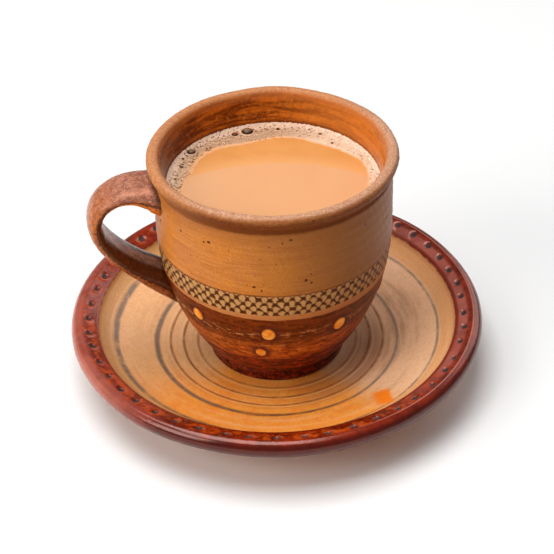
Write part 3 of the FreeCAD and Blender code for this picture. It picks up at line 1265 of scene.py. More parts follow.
@dataclass(frozen=True)
class Froth(Finish):
    """Pale froth: fine bubbles as pits between light walls, smoother towards the drink."""

    name: ClassVar[str] = "froth"

    def blend(self, recipe: Recipe) -> None:
        """Lays the pits and the pale outer rim over the froth's mottle."""
        mix, rise, times = recipe.mix, recipe.rise, recipe.times
        outer, thick = recipe.value("outer"), recipe.value("thick")
        colour = mix(recipe.noise(0.5, 4.0, 0.65), shade(188, 142, 106), shade(226, 190, 154))
        right = recipe.toward(10.0, 0.1, 0.95)
        colour = mix(times(right, 0.75), colour, shade(228, 198, 172))
        back = recipe.toward(105.0, 0.4, 0.95, 0.0, 0.6)
        colour = mix(back, colour, shade(158, 116, 84))
        pits = recipe.calc("MAXIMUM", recipe.specks(1.7, 0.4, 0.5), recipe.specks(1.0, 0.34, 0.3))
        strength = times(rise(outer, 0.2, 0.7), rise(right, 0.0, 1.0, 0.9, 0.45))
        colour = mix(times(pits, strength), colour, shade(118, 70, 42))
        rim = times(rise(outer, 0.86, 0.98), 0.5)
        colour = mix(rim, colour, shade(246, 214, 192))
        colour = recipe.over(colour, shade(226, 164, 112), thick, 0.75, 0.05)
        distance, _ = recipe.cells(1.3)
        relief = recipe.bump(distance, 0.25)
        recipe.set(
            Base_Color=colour,
            Roughness=0.5,
            Subsurface_Weight=0.2,
            Subsurface_Radius=(0.9, 0.6, 0.4),
            Subsurface_Scale=1.0 * MM,
            Normal=relief,
        )


@dataclass(frozen=True)
class BubbleFilm(Finish):
    """A bubble's film: its middle, a darker ring round that, and a pale rim.

    Attributes:
        name: the finish's name.
        middle: colour of the middle.
        ring: colour where the film turns down to the rim.
        rim: colour of the rim.
        rim_start: how far from the middle the rim starts, as a share of the radius.
        shine: how strongly it mirrors.
    """

    name: str
    middle: Colour
    ring: Colour
    rim: Colour
    rim_start: float = 0.8
    shine: float = 0.4

    def blend(self, recipe: Recipe) -> None:
        """Goes from the middle through the darker ring to the rim."""
        place = recipe.value("rim")
        start = self.rim_start
        colour = recipe.mix(recipe.rise(place, start * 0.4, start * 0.95), self.middle, self.ring)
        colour = recipe.mix(recipe.rise(place, start, start + 0.14), colour, self.rim)
        recipe.set(
            Base_Color=colour,
            Roughness=recipe.rise(place, 0.6, 0.95, 0.12, 0.45),
            Specular_IOR_Level=self.shine,
        )


@dataclass(frozen=True)
class PaleFloor(Finish):
    """A plain matt floor, near white."""

    name: ClassVar[str] = "pale_floor"

    def blend(self, recipe: Recipe) -> None:
        """Sets one plain colour."""
        recipe.set(Base_Color=shade(236, 236, 236), Roughness=0.9, Specular_IOR_Level=0.1)


# ------------------------------------------------------------------- pieces

class Outline:
    """A profile in radius and height, drawn piece by piece from its start."""

    def __init__(self, radius: float, height: float) -> None:
        """Starts at a point."""
        self.parts: list[Array] = [np.array([[radius, height]])]

    def run(self, radius: float, height: float, count: int) -> "Outline":
        """Goes straight to a point in count even steps.

        Args:
            radius, height: the point.
            count: how many steps.

        Returns:
            The outline itself.
        """
        share = np.linspace(0.0, 1.0, count + 1)[1:, None]
        start = self.parts[-1][-1]
        self.parts.append(start + share * (np.array([radius, height]) - start))
        return self

    def arc(
        self, middle: tuple[float, float], size: float, start: float, end: float, count: int,
    ) -> "Outline":
        """Goes round a middle from the angle start to the angle end, in degrees, in count steps.

        Args:
            middle: the arc's middle.
            size: its radius.
            start, end: its two angles.
            count: how many steps.

        Returns:
            The outline itself.
        """
        angle = np.radians(np.linspace(start, end, count + 1))
        self.parts.append(np.array(middle) + size * np.stack([np.cos(angle), np.sin(angle)], axis=-1))
        return self

    def curve(self, points: Array) -> "Outline":
        """Goes on through points that were worked out elsewhere."""
        self.parts.append(points)
        return self

    def points(self) -> tuple[Array, Array]:
        """The radii and heights from start to end, without doubled points.

        Returns:
            The radii and the heights.
        """
        line = np.vstack(self.parts)
        apart = np.linalg.norm(np.diff(line, axis=0), axis=1) > 1e-4
        line = line[np.concatenate([[True], apart])]
        return line[:, 0], line[:, 1]


def dress(thing: Thing, finish: bpy.types.Material, node: str) -> Thing:
    """Gives a piece its finish in a slot, puts it under the root body, hides the frame node's plain part,
    and reports it.

    Args:
        thing: the piece.
        finish: its material.
        node: the frame's node that it stands for.

    Returns:
        The piece.
    """
    thing.data.materials.append(finish)
    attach(thing, "root")
    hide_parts(node)
    log.info("%s: %d faces, %s", thing.name, len(thing.data.polygons), finish.name)
    return thing


@dataclass
class Saucer:
    """The saucer: a shallow thrown dish with a rolled rim and a ring of pressed marks.

    Every size is in millimetres. Heights are over the saucer's own foot.

    Attributes:
        radius: radius over the rolled rim.
        well_flat: radius of the flat under the cup.
        well_floor: height of that flat.
        well_bend: the power by which the well rises up to its shoulder.
        shoulder_radius, shoulder_height: where the well turns up more steeply.
        step_foot, band_inner: radius and height of the step's foot, and of the rim band's inner edge.
        roll_height, roll_radius: height of the rolled rim's middle, and its radius.
        roll_end: where the roll stops underneath, in degrees.
        thickness: height between the well and the underside.
        foot_radius, foot_width, foot_edge: the foot ring's outer radius, its width and its chamfer.
        recess: height of the hollow inside the foot ring.
        stamps: how many marks are pressed round the rim.
        stamp_circle: usual radius of the ring that they stand on, an oval in truth.
        stamp_wander: how far the oval leaves that circle.
        stamp_size: half the usual mark's size along and across the rim.
        stamp_depth: depth of a mark.
        columns: steps round the mesh.
    """

    radius: float
    well_flat: float = 27.0
    well_floor: float = 6.5
    well_bend: float = 2.12
    shoulder_radius: float = 59.4
    shoulder_height: float = 13.6
    step_foot: tuple[float, float] = (64.8, 18.1)
    band_inner: tuple[float, float] = (65.3, 19.6)
    roll_height: float = 18.7
    roll_radius: float = 3.3
    roll_end: float = -65.0
    thickness: float = 4.3
    foot_radius: float = 43.5
    foot_width: float = 5.0
    foot_edge: float = 0.8
    recess: float = 2.2
    stamps: int = 50
    stamp_circle: float = 69.3
    stamp_wander: float = 0.7
    stamp_size: tuple[float, float] = (1.45, 1.15)
    stamp_depth: float = 0.7
    columns: int = 880

    def well_height(self, radius: Array) -> Array:
        """The well's height: a power of the radius to the shoulder, then a parabola to the step.

        Args:
            radius: distances from the axis.

        Returns:
            The heights.
        """
        flat, rise = self.well_flat, self.shoulder_height - self.well_floor
        reach = self.shoulder_radius - flat
        share = np.clip((radius - flat) / reach, 0.0, 1.0)
        slope = rise * self.well_bend / reach
        width = self.step_foot[0] - self.shoulder_radius
        bend = (self.step_foot[1] - self.shoulder_height - slope * width) / width ** 2
        past = np.maximum(radius - self.shoulder_radius, 0.0)
        return self.well_floor + rise * share ** self.well_bend + slope * past + bend * past ** 2

    def profile(self) -> tuple[Array, Array]:
        """The section from the middle of the top over the rim to the middle underneath.

        Returns:
            The radii and the heights.
        """
        middle = (self.radius - self.roll_radius, self.roll_height)
        to_band = np.array(self.band_inner) - np.array(middle)
        tangent = math.degrees(math.atan2(to_band[1], to_band[0])
                               - math.acos(self.roll_radius / float(np.hypot(*to_band))))
        well = np.linspace(self.well_flat, self.step_foot[0], 44)
        line = Outline(POLE, self.well_floor)
        line.run(self.well_flat, self.well_floor, 5)
        line.curve(np.stack([well, self.well_height(well)], axis=-1))
        line.run(*self.band_inner, 4)
        touch = middle[0] + self.roll_radius * math.cos(math.radians(tangent))
        height = middle[1] + self.roll_radius * math.sin(math.radians(tangent))
        line.run(touch, height, 11)
        line.arc(middle, self.roll_radius, tangent, self.roll_end, 20)
        under = np.linspace(self.step_foot[0], self.foot_radius + self.foot_edge, 9)
        line.curve(np.stack([under, self.well_height(under) - self.thickness], axis=-1))
        edge, inner = self.foot_edge, self.foot_radius - self.foot_width
        line.run(self.foot_radius, self.well_height(np.array(self.foot_radius)) - self.thickness - edge, 1)
        line.run(self.foot_radius, edge, 2).run(self.foot_radius - edge, 0.0, 1)
        line.run(inner + edge, 0.0, 2).run(inner, edge, 1).run(inner, self.recess, 1)
        line.run(POLE, self.recess, 3)
        return line.points()

    def marks(self, angle: Array, radius: Array) -> tuple[Array, Array, Array]:
        """The pressed marks: dents with a raised edge on one side.

        Near each mark, d is the distance from its middle over its half sizes along and across the
        rim. A dent is (1 - d^2) deep inside, and the crest is a bump outside it on the left.

        Args:
            angle: each column's angle.
            radius: each grid point's radius, shape (rows, 1).

        Returns:
            The change in height, the share of dark fill, and the share of crest.
        """
        random = np.random.default_rng(7)
        step = TURN / self.stamps
        number = np.round(angle / step).astype(int) % self.stamps
        drift = random.normal(0.0, 0.055 * step, self.stamps)[number]
        middle = np.arange(self.stamps) * step
        oval = self.stamp_wander * np.cos(2.0 * (middle - math.radians(Side.FRONT.value)))
        circle = (self.stamp_circle + oval + random.normal(0.0, 0.2, self.stamps))[number]
        size = random.uniform(0.82, 1.12, (2, self.stamps))[:, number]
        off = (angle + step / 2) % step - step / 2 - drift
        along = off * circle / (self.stamp_size[0] * size[0])
        across = (radius - circle) / (self.stamp_size[1] * size[1])
        far = np.sqrt(along ** 2 + across ** 2)
        dent = smooth_step(far, 1.25, 0.35)
        side = np.clip(along * 0.9 - across * 0.45, 0.0, 2.0)
        crest = np.exp(-((far - 1.45) / 0.34) ** 2) * smooth_step(side, 0.3, 1.2)
        fill = smooth_step(far, 1.12, 0.72)
        return 0.22 * crest - self.stamp_depth * dent, fill, crest

    def build(self) -> list[Thing]:
        """Makes the dish.

        Returns:
            The dish, in a list of its own.
        """
        radius, height = self.profile()
        rows = len(radius)
        ring, angle = turned(radius, height, self.columns)
        top = np.arange(rows)[:, None] < int(np.argmin(np.abs(radius - self.radius))) + 1
        lift, fill, crest = self.marks(angle, radius[:, None])
        well = smooth_step(radius[:, None], self.well_flat, self.well_flat + 4.0)
        well = well * smooth_step(radius[:, None], 66.0, 63.0)
        slide = radius[:, None] + waves(angle, 3, 1, 4, 0.5)
        thrown = 0.05 * np.sin(TURN * slide / 4.9) + 0.04 * np.sin(TURN * slide / 3.1)
        thrown = thrown * smooth_step(radius[:, None], 52.0, 42.0)
        wobble = waves(angle, 5, 2, 9, 0.12) * smooth_step(radius[:, None], 62.0, 72.0)
        ring[..., 2] += np.where(top, lift + thrown * well, 0.0) + wobble
        under = np.broadcast_to(
            smooth_step(radius[:, None], 60.0, 50.0) * ~top, (rows, self.columns)
        ).astype(float)
        # painted glint: the marks' crests are coloured only on the side towards the left
        glint_side = smooth_step(np.cos(angle - math.radians(-160.0)), -0.5, 0.5)
        crest = np.where(top, 0.75 * crest * glint_side, 0.0)
        values = {"stamp": np.where(top, fill, 0.0), "crest": crest, "under": under}
        dish = Surface("saucer_dish", ring, values=values).build()
        return [dress(dish, SaucerGlaze(0.16, 0.7, (1.0, 0.64, 0.56, 1.0)).make(), "saucer")]


@dataclass
class Cup:
    """The cup: a thrown round body on a small foot, with a rolled lip and a pulled strap handle.

    Every size is in millimetres, and heights are over the cup's own foot.

    Attributes:
        foot: height of the foot over the frame's floor.
        body_foot: radius and height where the round body starts.
        body_radius, body_top: radius and height of the belly.
        body_bend: the power by which the body swells up to it.
        neck: radius and height where the lip starts.
        lip_middle, lip_radius: radius and height of the round lip's middle, and its own radius.
        wall: thickness of the wall.
        inner_top, inner_low: the heights between which the inner wall follows the outer one.
        floor, floor_bend: height of the floor inside, and how far its flat stays off the wall.
        foot_radius, ring_width, recess: the foot ring's outer radius, its width and its hollow's height.
        strap_power: the power of the handle's rounded section.
        strap_sink: how deep the handle may reach into the wall, as a share of the wall.
        columns: steps round the mesh.
    """

    foot: float
    body_foot: tuple[float, float] = (26.0, 6.0)
    body_radius: float = 41.3
    body_top: float = 56.0
    body_bend: float = 2.2
    neck: tuple[float, float] = (41.1, 77.4)
    lip_middle: tuple[float, float] = (40.85, 80.9)
    lip_radius: float = 2.2
    wall: float = 4.4
    inner_top: float = 71.4
    inner_low: float = 14.0
    floor: float = 6.0
    floor_bend: float = 6.0
    foot_radius: float = 25.1
    ring_width: float = 5.2
    recess: float = 1.4
    strap_power: float = 2.6
    strap_sink: float = 0.6
    columns: int = 480

    def outer_radius(self, height: Array) -> Array:
        """The wall's radius: it swells by a falling power up to the belly, then leans in to the neck.

        Args:
            height: heights over the foot.

        Returns:
            The radii.
        """
        start, low = self.body_foot
        share = np.clip((height - low) / (self.body_top - low), 0.0, 1.0)
        swell = start + (self.body_radius - start) * (1.0 - (1.0 - share) ** self.body_bend)
        lean = np.clip((height - self.body_top) / (self.neck[1] - self.body_top), 0.0, 1.0)
        return swell + lean * (self.neck[0] - self.body_radius)

    def inner_wall(self, count: int) -> Array:
        """The inner wall from top to bottom: the outer one moved inwards along its normal.

        Args:
            count: how many points.

        Returns:
            Rows of radius and height.
        """
        height = np.linspace(self.inner_top, self.inner_low, count)
        radius = self.outer_radius(height)
        slope = np.gradient(radius, height)
        length = np.sqrt(1.0 + slope ** 2)
        return np.stack([radius - self.wall / length, height + self.wall * slope / length], axis=-1)

    def profile(self) -> tuple[Array, Array, int]:
        """The section from under the foot, up the outside, over the lip and down inside.

        Returns:
            The radii, the heights, and the number of the row at the lip's top.
        """
        foot = self.foot_radius
        body = np.linspace(self.body_foot[1], self.body_top, 66)
        line = Outline(POLE, self.recess)
        line.run(foot - self.ring_width - 0.4, self.recess, 3).run(foot - self.ring_width, 0.0, 2)
        line.run(foot - 1.2, 0.0, 2).run(foot - 0.4, 0.8, 2).run(foot, 4.3, 4)
        line.run(foot - 0.5, 4.8, 2).run(*self.body_foot, 3)
        line.curve(np.stack([self.outer_radius(body), body], axis=-1))
        line.run(*self.neck, 26)
        line.arc(self.lip_middle, self.lip_radius, -40.0, 90.0, 14)
        lip = sum(len(part) for part in line.parts) - 1
        line.arc(self.lip_middle, self.lip_radius, 90.0, 180.0, 10)
        inner = self.inner_wall(24)
        line.run(*inner[0], 12).curve(inner)
        line.run(inner[-1][0] - self.floor_bend, self.floor, 4).run(POLE, self.floor, 3)
        return (*line.points(), lip)

    def dots(self) -> Array:
        """The slip dots as rows of angle, height, width and height of the dot, in degrees and mm.

        Nine stand in a ring that leans a little, and three lower ones stand between them.

        Returns:
            One row for each dot.
        """
        random = np.random.default_rng(11)
        place = np.arange(9)
        nudge = np.where(place == 1, -1.7, np.where(place == 8, 1.0, random.normal(0.0, 1.2, 9)))
        nudge[0] = 0.0
        angle = -104.2 + place * 40.0 + nudge
        height = 33.3 + 2.7 * np.sin(-np.radians(angle + 104.0)) + random.normal(0.0, 0.15, 9)
        width = 4.75 * random.uniform(0.9, 1.06, 9)
        tall = 6.0 * random.uniform(0.94, 1.06, 9)
        ring = np.stack([angle, height, width, tall], axis=-1)
        low = np.array([[-109.3, 22.0, 3.9, 5.2], [12.0, 22.6, 4.1, 5.0], [127.0, 21.5, 3.8, 4.9]])
        return np.vstack([ring, low])

    def on_wall(self, angle: Array, level: Array) -> tuple[Array, Array]:
        """Places on the outer wall, with the directions there.

        Args:
            angle: angles round the cup, in radians.
            level: heights over the foot.

        Returns:
            The places, and for each the directions around, up along the wall and outwards.
        """
        radius = self.outer_radius(level)
        slope = (self.outer_radius(level + 0.1) - self.outer_radius(level - 0.1)) / 0.2
        length = np.sqrt(1.0 + slope ** 2)[:, None]
        zero = np.zeros_like(angle)
        around = np.stack([-np.sin(angle), np.cos(angle), zero], axis=-1)
        up = np.stack([slope * np.cos(angle), slope * np.sin(angle), zero + 1.0], axis=-1) / length
        centres = np.stack([radius * np.cos(angle), radius * np.sin(angle), level + self.foot], axis=-1)
        return centres, np.stack([around, up, np.cross(around, up)], axis=1)

    def build_body(self) -> Thing:
        """Makes the body with its lip, inside and foot.

        Returns:
            The body.
        """
        radius, height, lip = self.profile()
        rows = len(radius)
        body, angle = turned(radius, height, self.columns)
        row = np.arange(rows)[:, None]
        tall = height[:, None]
        outside = (row <= lip) & (tall > self.body_foot[1])
        ridge = 0.07 * np.sin(TURN * (tall + waves(angle, 21, 1, 5, 0.7)) / 4.1)
        ridge = ridge + 0.05 * rough_field(angle, tall, 22, 24, 2.2)
        fade = smooth_step(tall, 6.0, 12.0) * smooth_step(tall, 79.5, 76.0)
        swell = np.where(outside, ridge * fade, 0.0)
        near_lip = smooth_step(tall, 76.0, 80.0)
        uneven = waves(angle, 23, 2, 12, 0.08) + 0.05 * rough_field(angle, tall, 24, 20, 1.6)
        swell = swell + near_lip * uneven
        inside_ridge = 0.1 * np.sin(TURN * (tall + waves(angle, 25, 1, 4, 0.6)) / 3.4)
        swell = swell + np.where(row > lip, inside_ridge * smooth_step(tall, 79.5, 77.0), 0.0)
        body[..., 0] += swell * np.cos(angle)
        body[..., 1] += swell * np.sin(angle)
        body[..., 2] += near_lip * waves(angle, 26, 2, 7, 0.1) + self.foot
        inner = smooth_step(row.astype(float), lip + 2.0, lip + 8.0)
        halo = np.zeros((rows, self.columns))
        for turn, level, width, size in self.dots():
            off = (angle - math.radians(turn) + math.pi) % TURN - math.pi
            along = off * self.outer_radius(np.array(level)) / (width * 0.5 + 2.1)
            up = (tall - level) / (size * 0.5 + 1.6)
            far = np.sqrt(along ** 2 + up ** 2)
            halo = np.maximum(halo, smooth_step(far, 1.15, 0.55))
        values = {"inner": np.broadcast_to(inner, halo.shape), "halo": np.where(row <= lip, halo, 0.0)}
        return Surface("cup_body", body, values=values).build()

    def handle_line(self) -> Array:
        """The handle's stations: distance out, height, strap width and strap thickness.

        Returns:
            One row for each station.
        """
        return np.array([
            (39.8, 71.5, 20.0, 13.4), (41.2, 71.8, 19.4, 11.6), (43.5, 72.6, 18.4, 9.2),
            (49.0, 73.8, 17.0, 6.2), (54.6, 72.9, 15.8, 5.0), (59.6, 69.4, 15.0, 4.7),
            (62.1, 63.8, 15.0, 4.7), (61.5, 58.0, 15.8, 4.8), (58.5, 52.4, 16.4, 5.0),
            (54.0, 47.0, 16.6, 5.4), (48.6, 42.0, 16.6, 6.2), (43.4, 37.9, 16.4, 8.2),
            (38.0, 33.8, 16.8, 9.4), (32.6, 29.7, 17.2, 10.5),
        ])

    def build_handle(self) -> Thing:
        """Makes the handle: a flattened round section carried along its line in the XZ plane.

        The section is |u|^n + |v|^n = 1, where n is the strap's power, scaled to the strap's width
        and thickness, and v points away from the handle's gap. What would reach through the cup's
        wall is held inside it.

        Returns:
            The handle.
        """
        count, sides = 240, 72
        stations = along_points(self.handle_line(), count)
        out, tall, width, thick = stations.T
        path = np.stack([-out, np.zeros_like(out), tall + self.foot], axis=-1)
        ahead = np.gradient(path, axis=0)
        ahead /= np.linalg.norm(ahead, axis=1, keepdims=True)
        away = np.stack([ahead[:, 2], np.zeros_like(out), -ahead[:, 0]], axis=-1)
        if away[count // 2, 0] > 0:
            away = -away
        angle = np.arange(sides) * TURN / sides
        power = 2.0 / self.strap_power
        side, back = (np.sign(wave) * np.abs(wave) ** power for wave in (np.cos(angle), np.sin(angle)))
        length = np.concatenate([[0.0], np.cumsum(np.linalg.norm(np.diff(path, axis=0), axis=1))])
        run = np.broadcast_to((length / length[-1])[:, None], (count, sides))
        lump = 1.0 + 0.01 * rough_field(angle[None], length[:, None], 31, 20, 5.0)
        middle = smooth_step(run[:, :1], 0.02, 0.2) * smooth_step(run[:, :1], 0.98, 0.8)
        crown = 0.35 * (1.0 - side ** 2)[None] * middle
        across = side[None, :, None] * (width[:, None] * lump / 2)[..., None] * np.array([0.0, 1.0, 0.0])
        depth = back[None] * thick[:, None] * lump / 2 + crown * (back > 0)[None]
        points = path[:, None] + across + depth[..., None] * away[:, None]
        wall = self.outer_radius(points[..., 2] - self.foot)
        reach = np.hypot(points[..., 0], points[..., 1])
        points[..., :2] *= np.maximum(1.0, (wall - self.strap_sink * self.wall) / reach)[..., None]
        gap = np.abs(np.hypot(points[..., 0], points[..., 1]) - wall)
        values = {"back": np.broadcast_to(back, run.shape), "run": run, "joint": np.exp(-gap / 2.2)}
        return Surface("cup_handle", points, values=values).build()

    def build_dots(self) -> Thing:
        """Makes the slip dots: low oval cushions that lie along the wall.

        Returns:
            The dots as one piece.
        """
        share = np.array([0.15, 0.45, 0.7, 0.86, 0.96, 1.0, 1.0])
        tall = np.array([1.0, 0.96, 0.86, 0.66, 0.36, 0.0, -1.0])
        grid, _ = turned(share, tall, 28)
        shape = Surface("slip_dots", grid, values={"rim": np.broadcast_to(share[:, None], grid.shape[:2])})
        dots = self.dots()
        centres, frames = self.on_wall(np.radians(dots[:, 0]), dots[:, 1])
        sizes = np.stack([dots[:, 2] / 2, dots[:, 3] / 2, np.full(len(dots), 0.45)], axis=-1)
        return write_copies(shape, centres, frames, sizes)

    def build_spots(self) -> Thing:
        """Makes the iron spots: thin dark flecks burnt through the tan glaze, a few large and many small.

        Returns:
            The spots as one piece.
        """
        random = np.random.default_rng(12)
        large, small = 34, 70
        count = large + small
        angle = random.uniform(-170.0, 165.0, count)
        level = random.uniform(53.5, 76.0, count)
        size = np.concatenate([random.uniform(0.32, 0.6, large), random.uniform(0.12, 0.24, small)])
        share = np.array([0.2, 0.7, 1.0, 1.0])
        grid, _ = turned(share, np.array([1.0, 0.8, 0.0, -3.0]), 10)
        shape = Surface("iron_spots", grid)
        centres, frames = self.on_wall(np.radians(angle), level)
        oval = random.uniform(0.8, 1.25, count)
        sizes = np.stack([size * oval, size / oval, np.full(count, 0.06)], axis=-1)
        return write_copies(shape, centres, frames, sizes)

    def build(self) -> list[Thing]:
        """Makes the body, the handle, the dots and the spots.

        Returns:
            The four pieces.
        """
        return [
            dress(self.build_body(), CupGlaze(0.42, 0.22, foot=self.foot).make(), "cup"),
            dress(self.build_handle(), HandleGlaze(0.27, 0.5).make(), "cup"),
            dress(self.build_dots(), DotSlip(0.45, 0.25).make(), "cup"),
            dress(self.build_spots(), IronSpot(0.5, 0.2).make(), "cup"),
        ]


@dataclass
class Drink:
    """The milk tea and the froth that rings it.

    Attributes:
        cup: the cup that holds it.
        level: height of the tea's surface over the frame's floor, in millimetres.
        froth_top: height of the froth's top over the frame's floor.
        froth_width: the froth's usual width.
        edge_waves: the froth's inner edge, as waves round the cup: number, size and turn.
        overlap: how far the drink reaches into the cup's wall.
    """

    cup: Cup
    level: float
    froth_top: float
    froth_width: float = 5.9
    edge_waves: tuple[tuple[int, float, float], ...] = (
        (1, 3.9, -87.0), (2, 0.8, 21.0), (3, 0.35, -16.0), (5, 0.35, -54.0), (6, 0.75, 70.0),
    )
    overlap: float = 0.35

    def wall_radius(self) -> float:
        """The inner wall's radius at the tea's surface.

        Returns:
            The radius.
        """
        wall = self.cup.inner_wall(200)
        order = np.argsort(wall[:, 1])
        return float(np.interp(self.level - self.cup.foot, wall[order, 1], wall[order, 0]))

    def inner_edge(self, angle: Array) -> Array:
        """The froth's inner radius: the wall's less its usual width, plus the edge's waves.

        Args:
            angle: angles round the cup, in radians.

        Returns:
            The radii.
        """
        edge = np.full_like(angle, self.wall_radius() - self.froth_width)
        for count, size, turn in self.edge_waves:
            edge = edge + size * np.cos(count * angle - math.radians(turn))
        return edge

    def build_tea(self) -> Thing:
        """Makes the tea: a level top that climbs a little at the wall, over the cup's inner form.

        Returns:
            The tea.
        """
        wall = self.wall_radius() + self.overlap
        share = np.linspace(0.01, 1.0, 46)
        radius = wall * np.sqrt(share)
        climb = 0.35 * np.exp(-(wall - radius) / 0.7)
        line = Outline(radius[0], self.level)
        line.curve(np.stack([radius, self.level + climb], axis=-1))
        inner = self.cup.inner_wall(40)
        inner = inner[inner[:, 1] + self.cup.foot < self.level - 0.6]
        line.curve(np.stack([inner[:, 0] + self.overlap, inner[:, 1] + self.cup.foot], axis=-1))
        floor = self.cup.floor + self.cup.foot
        line.run(inner[-1][0] - self.cup.floor_bend, floor, 4).run(POLE, floor, 3)
        grid, _ = turned(*line.points(), 256)
        return Surface("tea", grid).build()

    def build_froth(self) -> Thing:
        """Makes the froth: a ring that is thin at its inner edge and lumpy towards the wall.

        Returns:
            The froth.
        """
        columns, rows = 1100, 36
        angle = np.arange(columns) * TURN / columns
        edge = self.inner_edge(angle) + waves(angle, 41, 9, 70, 0.16)
        wall = self.wall_radius() + self.overlap
        share = np.linspace(0.0, 1.0, rows)[:, None]
        radius = edge + (wall - edge) * share
        soft = 1.6 + 2.2 * smooth_step(np.cos(angle - math.radians(Side.LEFT.value)), 0.0, 0.8)
        thick = smooth_step((radius - edge) / soft, 0.0, 1.0)
        lumps = 0.5 + 0.5 * rough_field(angle[None], radius, 42, 60, 0.9)
        outer = smooth_step(share, 0.15, 0.7)
        full = self.froth_top - self.level
        top = self.level + 0.02 + (full - 0.25) * thick + 0.3 * np.clip(lumps, -0.2, 1.2) * thick * outer
        top = top + 0.35 * np.exp(-(wall - radius) / 0.6)
        bottom = np.full((2, columns), self.level - 0.5)
        grid, _ = turned(np.vstack([radius, radius[-1:], radius[:1]]), np.vstack([top, bottom]), columns)
        ends = np.array([1.0, 0.0])[:, None] * np.ones_like(angle)
        values = {
            "outer": np.vstack([outer * np.ones_like(angle), ends]),
            "thick": np.vstack([thick, ends]),
        }
        return Surface("froth_ring", grid, loop=True, values=values).build()

    def bubble_shape(self, name: str, columns: int, dome: Array) -> Surface:
        """A bubble of radius one: a dome inside a raised rim.

        Args:
            name: the piece's name.
            columns: steps round it.
            dome: rows of radius and height, from the middle to below the froth.

        Returns:
            The surface, whose value "rim" is the distance from the middle.
        """
        grid, _ = turned(dome[:, 0], dome[:, 1], columns)
        return Surface(name, grid, values={"rim": np.repeat(dome[:, :1], columns, axis=1)})

    def scatter(
        self, shape: Surface, angle: Array, radius: Array, size: Array, sunk: float,
    ) -> Thing:
        """Writes bubbles that lie flat on the froth.

        Args:
            shape: one bubble of radius one.
            angle, radius: where they lie.
            size: their radii.
            sunk: how far their rims lie under the froth's top.

        Returns:
            The bubbles as one piece.
        """
        height = np.full(len(angle), self.froth_top - sunk)
        centres = np.stack([radius * np.cos(angle), radius * np.sin(angle), height], axis=-1)
        level = np.broadcast_to(np.eye(3), (len(angle), 3, 3))
        return write_copies(shape, centres, level, np.repeat(size[:, None], 3, axis=1))

    def big_bubbles(self) -> list[Thing]:
        """The few large bubbles at the back and left: angle in degrees, radius and size.

        Returns:
            The grey ones and the brown one.
        """
        grey = np.array([(96.0, 32.1, 2.3), (137.6, 33.9, 1.75)])
        brown = np.array([(104.5, 32.1, 1.3)])
        dome = np.array([
            (0.12, 0.56), (0.35, 0.52), (0.58, 0.42), (0.74, 0.29), (0.86, 0.14), (0.93, 0.08), (1.0, 0.1),
            (1.08, 0.04), (1.14, -0.2),
        ])
        pieces = []
        for name, rows, colour in (
            ("grey_bubbles", grey, shade(128, 96, 70)), ("brown_bubble", brown, shade(126, 54, 18)),
        ):
            shape = self.bubble_shape(name, 32, dome)
            turn, radius, size = np.radians(rows[:, 0]), rows[:, 1], rows[:, 2]
            piece = self.scatter(shape, turn, radius, size, 0.1)
            film = BubbleFilm(name + "_film", colour, shade(44, 24, 14), shade(226, 184, 148), 0.9, 0.14)
            pieces.append(dress(piece, film.make(), "froth"))
        return pieces

    def dark_bubbles(self) -> Thing:
        """Small open bubbles: two runs of larger ones at the back and left, and fine ones between.

        Returns:
            The bubbles as one piece.
        """
        random = np.random.default_rng(43)
        run = np.concatenate([np.linspace(48.0, 90.0, 10), np.linspace(131.0, 190.0, 15)])
        count = 520
        turn = np.radians(np.concatenate([
            run + random.normal(0.0, 1.5, len(run)), random.normal(135.0, 62.0, count),
        ]))
        share = np.concatenate([random.uniform(0.46, 0.8, len(run)), random.beta(2.6, 1.5, count)])
        size = random.uniform(0.4, 0.78, len(run))
        size = np.concatenate([size, random.lognormal(math.log(0.22), 0.36, count)])
        edge = self.inner_edge(turn) + 1.0
        radius = edge + (self.wall_radius() - 0.4 - edge) * share
        bowl = np.array([(0.3, 0.1), (0.75, 0.12), (0.98, 0.3), (1.14, 0.2), (1.24, -0.5)])
        shape = self.bubble_shape("open_bubbles", 10, bowl)
        return self.scatter(shape, turn, radius, size, 0.12)

    def pale_bubbles(self) -> Thing:
        """Fine closed bubbles all round the froth, packed more closely towards the wall.

        Returns:
            The bubbles as one piece.
        """
        random = np.random.default_rng(44)
        count = 3400
        turn = random.uniform(0.0, TURN, count)
        edge, wall = self.inner_edge(turn), self.wall_radius()
        share = random.beta(1.8, 1.0, count)
        radius = edge + 0.6 + (wall - 0.1 - edge - 0.6) * share
        size = random.lognormal(math.log(0.2), 0.32, count)
        dome = np.array([(0.3, 0.72), (0.75, 0.5), (1.0, 0.0), (0.9, -0.6)])
        shape = self.bubble_shape("pale_bubbles", 8, dome)
        return self.scatter(shape, turn, radius, size, 0.16)

    def build(self) -> list[Thing]:
        """Makes the tea, the froth and its bubbles.

        Returns:
            The pieces, from the tea to the finest bubbles.
        """
        dark = BubbleFilm(
            "open_bubble_film", shade(66, 30, 12), shade(52, 22, 10), shade(222, 178, 140),
            rim_start=0.96, shine=0.06,
        )
        pale = BubbleFilm(
            "pale_bubble_film", shade(216, 174, 138), shade(232, 196, 164), shade(196, 148, 108),
        )
        return [
            dress(self.build_tea(), Tea().make(), "chai"),
            dress(self.build_froth(), Froth().make(), "froth"),
            *self.big_bubbles(),
            dress(self.dark_bubbles(), dark.make(), "froth"),
            dress(self.pale_bubbles(), pale.make(), "froth"),
        ]


# ------------------------------------------------------------------- studio

